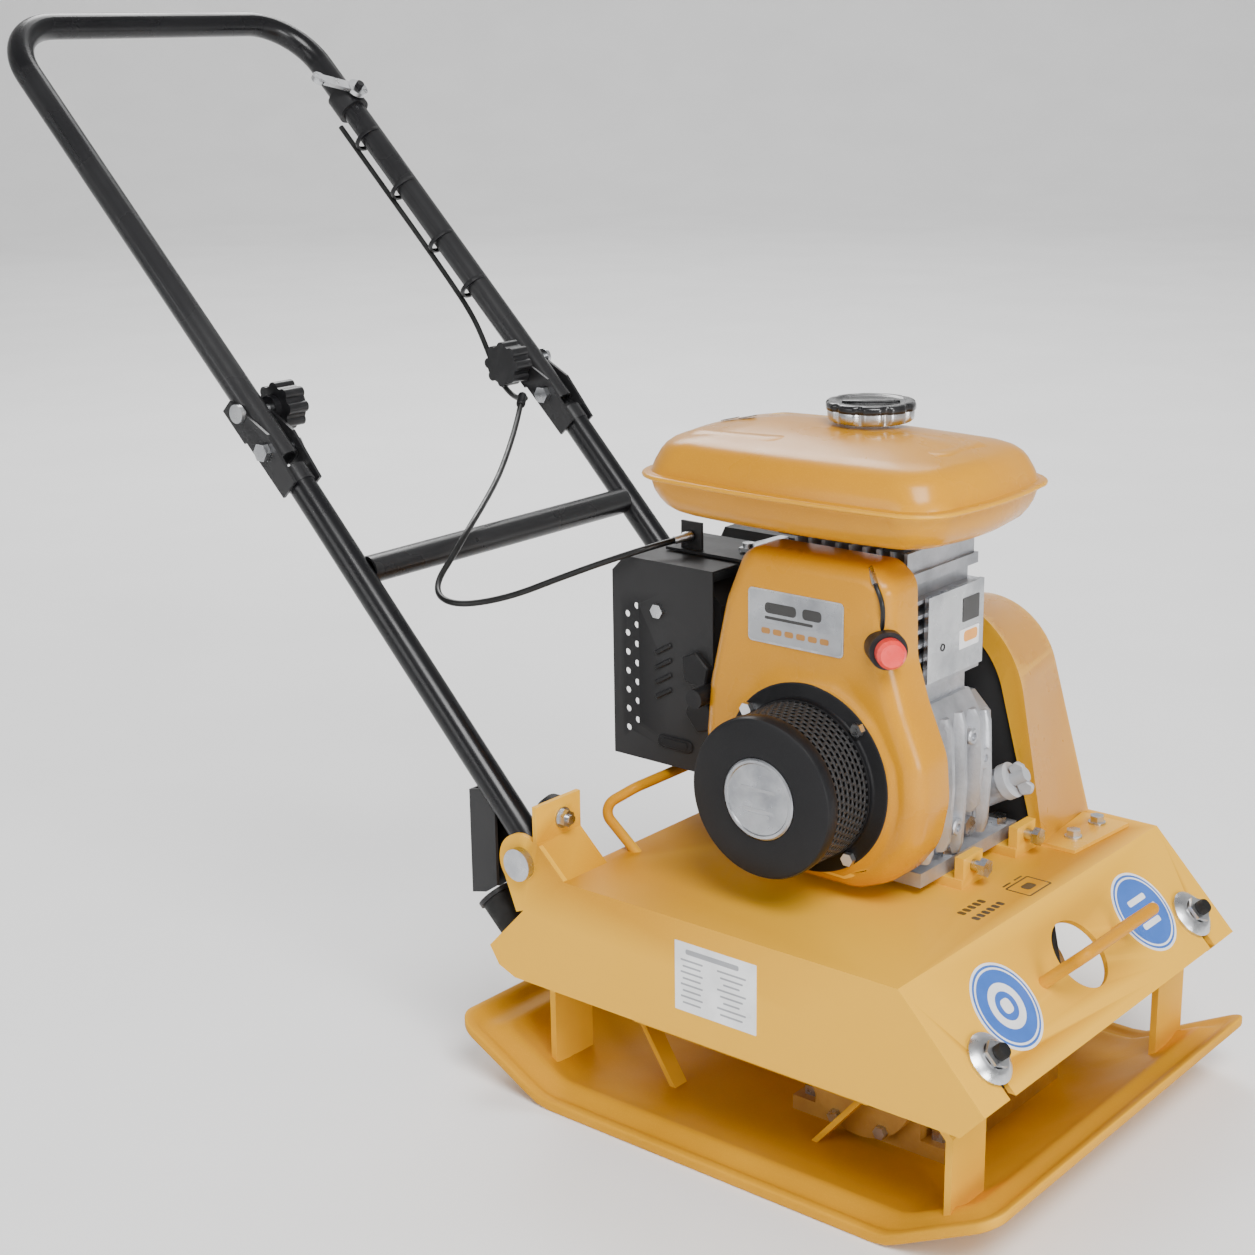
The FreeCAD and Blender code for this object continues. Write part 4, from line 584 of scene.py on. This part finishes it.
def make_tank_pads(centre, crown):
    """Shallow pressed steps that fall away from the crown, and a printed mark of two dark blocks."""
    foot = crown - 40.4
    pads = Stock()
    for at_x, at_y, half_x, half_y, lift in PADS:
        fall = math.copysign(PAD_FALL, at_x)
        loops = []
        for inset, height in ((-7.0, -2.2), (-3.0, -0.4), (0.0, 0.5), (3.0, 0.9)):
            flat = rounded_box(half_x - inset, half_y - inset, 12.0 - inset, 6, (6, 6))
            loops.append([(at_x + x, centre.y + at_y + y, foot + lift + height - fall * x)
                          for x, y in flat])
        pads.skin(loops, first=False)
    pads.make("tank_pads", "cover_paint", angle=60.0)
    mark = Stock()
    lean = Vector((0.97, 0.0, 0.24))
    for start, rise in ((-117.0, 0.0), (-99.0, 3.42)):
        mark.prism(bar(7.5, 0.0, 7.5, 4.5, 2.0, 3), 0.0, 0.5, lean.cross(Vector((0, 1, 0))) * -1.0,
                   (start, centre.y - 2.0, foot + MARK_LIFT + rise), lean, (0, 1, 0))
    mark.make("tank_mark", "cap_plastic", look=FILMS["black_film"])


def make_fuel_cap():
    """A plated skirt with scallops under a black moulded top."""
    low, high = extent("fuel_cap")
    at = Vector(((low.x + high.x) / 2, (low.y + high.y) / 2, low.z))
    radius = (high.x - low.x) / 2
    tall = high.z - low.z
    lobes, steps = 10, 160

    def ring(share, height, deep):
        points = []
        for step in range(steps):
            turn = 2 * math.pi * step / steps
            reach = radius * (share - deep * max(0.0, math.cos(lobes * turn)) ** 2)
            points.append((at.x + reach * math.cos(turn), at.y + reach * math.sin(turn), at.z + height))
        return points

    skirt = [(0.88, 0.0, 0.0), (0.91, 0.5, 0.03), (0.95, 1.8, 0.08), (0.965, 4.0, 0.09),
             (0.965, tall - 6.0, 0.09), (0.95, tall - 5.0, 0.08)]
    Stock().skin([ring(*row) for row in skirt]).make(
        "fuel_cap_skirt", "zinc", body="fuel_cap", stands_for=["fuel_cap"], angle=50.0)
    top = Stock().skin([ring(*row) for row in (
        (0.95, tall - 7.0, 0.06), (0.99, tall - 6.6, 0.07), (1.0, tall - 5.6, 0.07),
        (1.0, tall - 2.6, 0.07), (0.985, tall - 1.2, 0.06), (0.95, tall - 0.3, 0.04),
        (0.89, tall, 0.02), (0.80, tall, 0.0), (0.76, tall - 0.8, 0.0), (0.72, tall - 1.4, 0.0),
        (0.2, tall - 1.4, 0.0))])
    top.prism(bar(0.0, 0.0, 23.0, 4.0, 3.6, 4), 0.0, 1.3, (0, 0, 1), at + Vector((0, 0, tall - 1.5)),
              (0.8, 0.6, 0), (-0.6, 0.8, 0), 0.4)
    top.make("fuel_cap_top", "cap_plastic", body="fuel_cap", angle=50.0)


# ------------------------------------------------------------------ engine covers
SHROUD = [(-46.0, 487.0), (76.0, 487.0), (93.0, 474.0), (95.0, 412.0), (106.0, 378.0), (124.0, 336.0),
          (127.0, 300.0), (120.0, 264.0), (98.0, 234.0), (64.0, 220.5), (-30.0, 220.5), (-62.0, 236.0),
          (-84.0, 278.0), (-86.0, 326.0), (-82.0, 370.0), (-66.0, 440.0)]
SHROUD_CORNERS = [22.0, 20.0, 18.0, 40.0, 60.0, 50.0, 60.0, 50.0,
                  50.0, 44.0, 44.0, 50.0, 60.0, 60.0, 60.0, 60.0]
STARTER_RADIUS = 65.4


def make_shroud():
    """The pressed blower housing: soft front edge, a raised starter seat and its opening."""
    low, high = extent("blower_housing")
    back, face = high.y, low.y
    hub = middle("recoil_cover")
    outline = rounded(SHROUD, SHROUD_CORNERS, 7)
    loops = []
    for inset, level in ((3.0, back), (0.2, back), (0.0, back - 1.0), (0.0, face + 15.0),
                         (1.0, face + 9.6), (4.4, face + 4.4), (9.6, face + 1.0), (15.0, face)):
        loops.append([(x, level, z) for x, z in inset_outline(outline, inset)])
    last = loops[-1]

    def ring(radius, level, share=0.0):
        points = []
        for x, _, z in last:
            away = Vector((x - hub.x, z - hub.z))
            reach = away.length * share + radius * (1 - share)
            away = away.normalized() * reach
            points.append((hub.x + away.x, level, hub.z + away.y))
        return points

    loops += [ring(87.0, face + 0.4, 0.12), ring(84.0, face + 0.3), ring(81.5, face - 1.2),
              ring(79.6, face - 2.0), ring(66.0, face - 2.0), ring(64.0, face - 1.4),
              ring(63.4, face + 0.6), ring(63.0, face + 14.0)]
    Stock().skin(loops, False, False).make(
        "blower_shell", "cover_paint", stands_for=["blower_housing"], angle=60.0)


def make_starter():
    """Black starter: a plain front disc, a perforated drum wall, a flange and a plain badge."""
    low, high = extent("recoil_cover")
    hub = middle("recoil_cover")
    front, seat = low.y, high.y
    radius = STARTER_RADIUS
    out = Vector((0, -1, 0))
    at = Vector((hub.x, 0, hub.z))

    def turned(stock, start, profile):
        """Radii paired with depths behind a plane across the starter's axis."""
        return stock.lathe([(reach, -(start + depth)) for reach, depth in profile], at, out, 96)

    disc = turned(Stock(), front, [(radius - 5.0, 14.0), (radius - 0.4, 13.0), (radius, 11.0),
                                   (radius, 3.4), (radius - 1.2, 1.0), (radius - 3.6, 0.0),
                                   (33.6, 0.0), (33.2, 1.2), (8.0, 1.2)])
    turned(disc, seat, [(78.0, 0.0), (78.0, -2.0), (76.6, -3.0), (radius + 2.0, -3.2),
                        (radius + 0.6, -4.4), (radius, -6.5), (radius, -9.0), (radius - 2.0, -9.0)])
    disc.make("starter_cover", "black_plastic", stands_for=["recoil_cover"], angle=40.0,
              look=MATERIALS["black_steel"])
    make_drum_mesh(at, radius - 1.0, -(seat - 7.0), -(front + 12.0))
    badge = turned(Stock(), front, [(33.0, 1.0), (33.0, -0.4), (31.6, -1.4), (29.4, -1.4),
                                    (28.6, -0.6), (0.2, -0.6)])
    badge.make("starter_badge", "zinc", look=FILMS["silver_film"])
    print_on_badge(at, -(front - 0.6))


def print_on_badge(at, level):
    """Three plain bars where a maker's print would be."""
    bars = Stock()
    for height, half in ((8.0, 17.0), (-9.0, 15.0), (-13.0, 11.0)):
        bars.prism(bar(0.0, height, half, 1.3, 1.2, 3), level, level + 0.25,
                   (0, -1, 0), at, (1, 0, 0), (0, 0, 1))
    bars.make("badge_print", "cap_plastic", look=FILMS["grey_film"])


def make_drum_mesh(at, radius, low, high):
    """The drum's wall as a real grid of oblong holes, staggered row by row."""
    around, rows, arc = 64, 8, 3
    mesh = Stock()
    pitch = (high - low) / rows
    width = 2 * math.pi / around

    def spot(turn, height):
        return (at.x + radius * math.cos(turn), -height, at.z + radius * math.sin(turn))

    for row in range(rows):
        shift = 0.5 * (row % 2)
        for cell in range(around):
            start = 2 * math.pi * (cell + shift) / around
            base = low + pitch * row
            hole, rim = [], []
            for quarter, (cx, cy) in enumerate(((1, 1), (0, 1), (0, 0), (1, 0))):
                for step in range(arc + 1):
                    swing = math.radians(90 * quarter + 90 * step / arc)
                    u = 0.5 + (0.17 if cx else -0.17) + 0.16 * math.cos(swing)
                    w = 0.5 + (0.13 if cy else -0.13) + 0.20 * math.sin(swing)
                    hole.append(spot(start + width * u, base + pitch * w))
                    rim.append(spot(start + width * cx, base + pitch * cy))
            mesh.skin([rim, hole], False, False)
    piece = mesh.make("starter_mesh", "black_plastic", look=MATERIALS["black_steel"], angle=60.0)
    wall = piece.modifiers.new("wall", "SOLIDIFY")
    wall.thickness = 1.6 * MM
    wall.offset = -1.0


# ------------------------------------------------------------------ printed and applied details
def plate_on(name, centre, side, up, half_w, half_h, radius, layers, slot="grey_plastic"):
    """Thin round-cornered layers on a surface: each layer is (grow, low, high, look)."""
    normal = Vector(side).cross(Vector(up)).normalized()
    for index, (grow, low, high, look) in enumerate(layers):
        outline = bar(0.0, 0.0, half_w + grow, half_h + grow, max(radius + grow, 0.3), 4)
        Stock().prism(outline, low, high, normal, centre, side, up).make(f"{name}_{index}", slot, look=look)


def bars_on(name, centre, side, up, rows, lift, look, thick=0.15, slot="grey_plastic"):
    """Plain bars, given as (x, y, half width, half height), in place of any print."""
    normal = Vector(side).cross(Vector(up)).normalized()
    stock = Stock()
    for x, y, half_w, half_h in rows:
        outline = bar(x, y, half_w, half_h, min(half_w, half_h) * 0.7, 3)
        stock.prism(outline, lift, lift + thick, normal, centre, side, up)
    stock.make(name, slot, look=look)


def make_rating_plate():
    """A brushed plate on the shroud: plain dark bars above a grey band with a bronze row."""
    centre, side, up = (8.5, extent("blower_housing")[0].y, 434.0), (1, 0, 0), (0, 0, 1)
    plate_on("rating_plate", centre, side, up, 45.5, 22.0, 4.0,
             [(0.0, -0.4, 0.5, MATERIALS["machined_steel"]), (-1.6, 0.4, 0.7, FILMS["silver_film"])])
    bars_on("rating_band", centre, side, up, [(0.0, -12.5, 43.0, 7.5)], 0.62, FILMS["grey_film"])
    bars_on("rating_bronze", centre, side, up,
            [(-28.0 + 11.2 * step, -11.5, 4.2, 2.4) for step in range(6)], 0.8, FILMS["bronze_film"])
    bars_on("rating_dark", centre, side, up,
            [(-14.0, 7.5, 15.0, 4.4), (16.0, 7.5, 9.0, 4.4), (-6.0, -0.6, 23.0, 1.2)],
            0.66, FILMS["black_film"])


FRONT_NORMAL = (0.724, 0.0, 0.690)
STICKER_RINGS = [(36.0, 0.25, "white_film"), (33.8, 0.35, "blue_film"),
                 (31.8, 0.45, "white_film"), (30.0, 0.55, "blue_film")]


def make_front_stickers():
    """Two round blue and white stickers on the sloped front face, with plain shapes on them."""
    normal = Vector(FRONT_NORMAL).normalized()
    side = Vector((0, 1, 0))
    up = normal.cross(side)
    for name, y in (("right", -112.0), ("left", 112.0)):
        at = Vector((213.5, y, 171.5))
        for index, (radius, level, look) in enumerate(STICKER_RINGS):
            Stock().lathe([(radius, -0.3), (radius, level)], at, normal, 72).make(
                f"sticker_{name}_{index}", "grey_plastic", look=FILMS[look])
        if name == "right":
            ring = Stock().lathe([(19.0, 0.4), (19.0, 0.7), (12.0, 0.7), (12.0, 0.4)],
                                 at, normal, 64, False, False)
            ring.make("sticker_right_ring", "grey_plastic", look=FILMS["white_film"])
            shapes = [(0.0, 0.0, 6.0, 6.0)]
        else:
            shapes = [(0.0, 11.0, 14.0, 2.6), (0.0, 0.0, 20.0, 2.6), (0.0, -11.0, 14.0, 2.6)]
        bars_on(f"sticker_{name}_shapes", at, side, up, shapes, 0.55, FILMS["white_film"])


def make_data_label():
    """The white data label on the right skirt: rows of plain grey lines."""
    side = Vector((1, 0, 0))
    up = Vector((0, 0, 1))
    centre = (10.0, -206.0, 162.6)
    plate_on("data_label", centre, side, up, 39.9, 29.6, 0.6, [(0.0, -0.2, 0.25, FILMS["white_film"])])
    rows = [(-3.0, 22.0, 26.0, 2.2)]
    for line in range(8):
        height = 14.5 - 5.2 * line
        rows.append((-23.0, height, 11.0 - 2.0 * (line % 2), 0.8))
        rows.append((16.0, height, 14.0 - 3.0 * (line % 3), 0.8))
    bars_on("data_label_lines", centre, side, up, rows, 0.25, FILMS["grey_film"], 0.1)


DECK_TOP = 210.0


def make_deck_prints():
    """Faint plain marks printed on the deck in front of the engine."""
    top = extent("base_plate")[0].z + DECK_TOP
    rows = []
    for line, (start, count) in enumerate(((-60.0, 5), (-62.0, 6))):
        for step in range(count):
            rows.append((start + 7.4 * step, -14.0 * line, 2.6, 3.6))
    bars_on("deck_print_marks", (142.0, 0.0, top), (0, 1, 0), (-1, 0, 0), rows, 0.02,
            FILMS["print_film"], 0.1)
    frame_rows = [(0.0, 11.0, 17.0, 0.8), (0.0, -11.0, 17.0, 0.8), (-17.0, 0.0, 0.8, 11.0),
                  (17.0, 0.0, 0.8, 11.0), (0.0, 0.0, 7.0, 4.5), (-9.0, 15.0, 6.0, 0.9),
                  (9.0, 15.0, 6.0, 0.9)]
    bars_on("deck_print_frame", (156.0, 20.0, top), (0, 1, 0), (-1, 0, 0), frame_rows, 0.02,
            FILMS["print_film"], 0.1)


CAST_RIBS = [(-44.0, 236.0, 346.0, 6.0), (-22.0, 240.0, 352.0, 9.0), (0.0, 232.0, 352.0, 7.0),
             (20.0, 262.0, 350.0, 10.0), (40.0, 238.0, 344.0, 6.0)]
RIB_SHAPE = [(0.0, 0.2, 3.0), (0.08, 0.7, 4.0), (0.5, 1.0, 4.6), (0.92, 0.7, 4.0), (1.0, 0.2, 3.0)]
CAST_BOSSES = [(-34.0, 300.0, 8.0), (10.0, 330.0, 7.0), (30.0, 306.0, 9.0), (-10.0, 258.0, 7.0)]


def make_cylinder_details():
    """The air-guide plate's stickers, a black disc painted as the shade inside its hole, and the
    crankcase's cast ribs and bosses.
    """
    x = extent("cylinder_baffle")[1].x
    side, up = (0, 1, 0), (0, 0, 1)
    plate_on("guide_black", (x, 38.0, 428.0), side, up, 12.5, 10.0, 1.0,
             [(0.0, -0.2, 0.4, FILMS["black_film"])])
    plate_on("guide_white", (x, 36.0, 404.0), side, up, 15.0, 8.0, 0.8,
             [(0.0, -0.2, 0.4, FILMS["white_film"])])
    bars_on("guide_orange", (x, 38.0, 404.0), side, up, [(0.0, 1.5, 10.5, 4.6)], 0.4, FILMS["orange_film"])
    # painted shade: a closed black disc where the hole's dark inside would be
    Stock().lathe([(3.2, -0.2), (3.2, 0.5), (2.2, 0.5), (2.0, -0.1)], (x, -4.0, 404.0), (1, 0, 0), 24).make(
        "guide_hole_shade_disc", "black_plastic")
    rib = Stock()
    face = extent("crankcase")[1].x
    for y, low, high, out in CAST_RIBS:
        loops = []
        for share, deep, wide in RIB_SHAPE:
            z = low + (high - low) * share
            reach = out * deep
            loops.append([(face - 3.0, y - wide - 2.0, z), (face + reach * 0.4, y - wide, z),
                          (face + reach, y - wide * 0.45, z), (face + reach, y + wide * 0.45, z),
                          (face + reach * 0.4, y + wide, z), (face - 3.0, y + wide + 2.0, z)])
        rib.skin(loops)
    for y, z, radius in CAST_BOSSES:
        rib.lathe([(radius + 1.5, -3.0), (radius, 2.0), (radius, 6.0), (radius - 1.2, 7.2),
                   (3.4, 7.2), (3.2, 5.0)], (face, y, z), (1, 0, 0), 28)
    rib.make("crankcase_ribs", "cast_grey", angle=42.0)


def make_filler_wings():
    """Two moulded wings on the oil filler cap."""
    low, high = extent("oil_filler_cap")
    axis = Vector((0.86, 0.1, 0.5)).normalized()
    at = (low + high) / 2 + axis * 6.0
    side = axis.cross(Vector((0, 0, 1))).normalized()
    outline = rounded([(-3.0, -13.0), (6.0, -15.0), (11.0, -9.0), (7.0, -3.5), (9.0, 0.0), (7.0, 3.5),
                       (11.0, 9.0), (6.0, 15.0), (-3.0, 13.0)], [1.5, 3, 3, 3, 2, 3, 3, 3, 1.5], 4)
    up = axis.cross(side)
    Stock().prism(outline, -2.6, 2.6, side, at, axis, up, 1.0).make(
        "oil_filler_wings", "grey_plastic", body="oil_filler_cap", angle=40.0)


def make_switch_lead():
    """The switch's lead: a black wire and a plated end under the tank."""
    wire("switch_lead", [(86.0, -96.0, 440.0), (89.0, -99.0, 452.0), (88.0, -100.0, 464.0),
                         (80.0, -98.0, 476.0), (70.0, -88.0, 485.0)], 1.9, "cable_sheath")
    wire("switch_lead_end", [(81.0, -98.4, 475.0), (76.0, -95.0, 481.0), (71.0, -89.5, 484.0)],
         2.6, "zinc")


def make_muffler_details():
    """Raised slats, a pressed oval and two brackets on the muffler guard's side."""
    y = extent("muffler_guard")[0].y
    out, ahead, up = (0, -1, 0), (1, 0, 0), (0, 0, 1)
    slats = Stock()
    for step in range(4):
        slats.prism(bar(0.0, 0.0, 10.0, 2.2, 2.0, 4), -0.4, 2.6, out, (-148.0, y, 338.0 + 13.0 * step),
                    (0.86, 0, 0.5), (-0.5, 0, 0.86), 1.0)
    recess = (-136.0, y, 295.0)
    slats.prism(bar(0.0, 0.0, 19.0, 6.0, 5.8, 6), -0.4, 1.8, out, recess, ahead, up, 0.8)
    slats.prism(bar(0.0, 0.0, 14.0, 4.0, 3.8, 6), 1.2, 2.6, out, recess, ahead, up, 0.5)
    bracket = rounded([(-12.0, -10.0), (10.0, -16.0), (14.0, 4.0), (0.0, 16.0), (-13.0, 10.0)], 3.0, 3)
    slats.prism(bracket, -0.4, 7.0, out, (-110.0, y, 366.0), ahead, up, 1.2)
    slats.prism(bracket, -0.4, 5.0, out, (-106.0, y, 326.0), (0.8, 0, 0.6), (-0.6, 0, 0.8), 1.2)
    slats.make("guard_pressings", "black_steel", angle=40.0)


# ------------------------------------------------------------------ cables
CABLE_DIAMETER = 0.0055
CABLE_ROUTE = [
    (-492.0, 134.0, 527.1), (-474.0, 108.0, 513.0), (-449.0, 69.0, 495.0), (-421.0, 23.0, 477.0),
    (-389.0, -32.0, 464.0), (-363.0, -82.0, 451.3), (-357.0, -108.0, 433.5), (-354.0, -130.0, 418.0),
    (-338.0, -147.0, 409.5), (-316.0, -151.0, 406.5), (-293.0, -142.0, 409.0), (-266.0, -124.0, 417.0),
    (-237.0, -107.0, 431.0), (-206.0, -95.0, 445.0), (-178.0, -80.0, 457.0), (-160.0, -58.0, 464.0),
    (-151.0, -30.2, 467.0)]
GRIP_CABLE_ROUTE = [
    (386.0, 20.5, 176.0), (318.0, 21.4, 177.0), (246.0, 20.4, 176.2), (176.0, 21.6, 177.0),
    (124.0, 22.0, 175.0), (86.0, 26.0, 168.5), (52.0, 30.5, 160.5), (24.0, 25.0, 154.0),
    (7.0, 12.0, 146.5), (0.0, 0.0, 139.5)]
FOLD = Vector((-492.0, 0.0, 527.1))
GRIP_END = Vector((-859.5, 0.0, 890.1))
UPPER_WAY = (GRIP_END - FOLD).normalized()


def on_grip(along, across, side):
    """A point beside the upper handle's tube: along it and square to it from the fold."""
    spot = FOLD + UPPER_WAY * along + Vector((-UPPER_WAY.z, 0.0, UPPER_WAY.x)) * across
    return (spot.x, side, spot.z)


def make_cables():
    """The throttle cable: one length on the upper handle, one hanging to the engine."""
    free = wire("throttle_cable_free", CABLE_ROUTE, CABLE_DIAMETER / 2 / MM, "cable_sheath",
                stands_for=["throttle_cable"])
    points = [on_grip(*row) for row in GRIP_CABLE_ROUTE]
    clipped = wire("throttle_cable_clipped", points, CABLE_DIAMETER / 2 / MM, "cable_sheath",
                   body="handle_top", stands_for=["cable_on_grip"])


def make_cable_fittings():
    """A black sleeve where the two lengths meet, a plated ferrule at the engine end, and nylon ties round
    the grip tube.
    """
    start = Vector(CABLE_ROUTE[0])
    way = (Vector(CABLE_ROUTE[1]) - start).normalized()
    sleeve = [(2.9, -7.0), (4.2, -6.4), (4.6, -5.0), (4.6, 9.0), (4.0, 11.0), (2.9, 11.6)]
    Stock().lathe(sleeve, start, way, 24).make("cable_joint_sleeve", "black_plastic", angle=45.0)
    end = Vector(CABLE_ROUTE[-1])
    back = (Vector(CABLE_ROUTE[-2]) - end).normalized()
    ferrule = [(2.9, -2.0), (4.4, -1.6), (4.4, 6.0), (3.6, 7.0), (3.6, 15.0), (2.9, 16.0)]
    Stock().lathe(ferrule, end, back, 24).make("cable_end_ferrule", "zinc", angle=45.0)
    ties = Stock()
    for along in (352.0, 282.0, 208.0, 146.0):
        ties.lathe([(13.4, -2.0), (16.0, -2.0), (16.2, 0.0), (16.0, 2.0), (13.4, 2.0)],
                   on_grip(along, 3.2, 182.0), UPPER_WAY, 40, False, False)
    ties.make("cable_ties", "black_plastic", body="handle_top", angle=45.0)


# ------------------------------------------------------------------ mount hardware
STUDS = [(230.0, 166.0, 154.0, (0.7239, 0.0, 0.6900)), (-210.2, 146.0, 154.0, (-0.7253, 0.0, 0.6885))]


def make_mount_hardware():
    """Dished plated washers and dark stud ends on the four rubber mounts."""
    washers, ends = Stock(), Stock()
    for x, y, z, way in STUDS:
        for side in (-1, 1):
            at = Vector((x, y * side, z))
            washers.lathe([(20.6, 2.4), (20.8, 3.2), (19.6, 4.2), (15.0, 7.4), (12.6, 8.2), (11.0, 8.2)],
                          at, way, 48, False, False)
            ends.lathe([(6.2, 11.8), (6.2, 18.0), (5.4, 19.4), (3.4, 19.8)], at, way, 24)
    washers.make("mount_washers", "zinc", angle=40.0)
    ends.make("mount_stud_ends", "black_rubber", angle=40.0)


# ------------------------------------------------------------------ scene
def make_floor():
    """A wide pale floor whose edge curves up all round, far from the object."""
    flat, sweep, rise, steps, around = 8.0, 3.0, 8.0, 10, 64
    line = [(0.0, 0.0), (flat, 0.0)]
    line += [(flat + sweep * math.sin(turn), sweep - sweep * math.cos(turn))
             for turn in (math.pi / 2 * step / steps for step in range(1, steps + 1))]
    line.append((flat + sweep, rise))
    turns = [2 * math.pi * step / around for step in range(around)]
    bowl = Stock().skin([[(reach * math.cos(turn), reach * math.sin(turn), height) for turn in turns]
                         for reach, height in line], False, False)
    data = bpy.data.meshes.new("floor")
    data.from_pydata(bowl.points, [], bowl.faces)
    data.validate()
    floor = bpy.data.objects.new("floor", data)
    bpy.context.scene.collection.objects.link(floor)
    for face in data.polygons:
        face.use_smooth = True
    made = Nodes("floor")
    tone = made.blend(made.spread(made.noise(3.0, 3.0), 0.0, 1.0),
                      (0.93, 0.93, 0.93), (0.90, 0.90, 0.90))
    look = made.finish(tone, made.spread(made.noise(8.0), 0.7, 0.8), None, Specular_IOR_Level=0.1)
    data.materials.append(look)


WORLD_STRENGTH = 0.42


def make_light(name, at, size, power, aim=(-0.1, 0.0, 0.35)):
    """A white rectangular lamp, in metres and watts, turned towards a point."""
    data = bpy.data.lights.new(name, "AREA")
    data.shape = "RECTANGLE"
    data.size, data.size_y = size
    data.energy = power
    lamp = bpy.data.objects.new(name, data)
    bpy.context.scene.collection.objects.link(lamp)
    way = Vector(aim) - Vector(at)
    lamp.matrix_world = Matrix.Translation(at) @ way.to_track_quat("-Z", "Y").to_matrix().to_4x4()


def make_studio():
    """An even white surround and five soft lamps."""
    world = bpy.data.worlds.new("studio")
    bpy.context.scene.world = world
    world.use_nodes = True
    sky = world.node_tree.nodes["Background"]
    sky.inputs["Color"].default_value = (1.0, 1.0, 1.0, 1.0)
    sky.inputs["Strength"].default_value = WORLD_STRENGTH
    make_light("key", (2.0, -1.5, 3.2), (1.8, 1.6), 170.0)
    make_light("fill", (3.6, -1.2, 0.9), (1.6, 1.0), 72.0)
    make_light("side", (-0.9, -3.4, 1.3), (2.0, 1.2), 26.0)
    make_light("rim", (-2.4, 1.8, 2.8), (1.6, 1.6), 50.0)
    make_light("floor wash", (-3.2, 3.4, 4.4), (4.0, 4.0), 210.0, (-3.4, 4.6, 0.0))


make_sole()
make_tank()
make_fuel_cap()
make_shroud()
make_starter()
make_rating_plate()
make_front_stickers()
make_data_label()
make_deck_prints()
make_cylinder_details()
make_filler_wings()
make_switch_lead()
make_muffler_details()
make_cables()
make_cable_fittings()
make_mount_hardware()
make_floor()
make_studio()
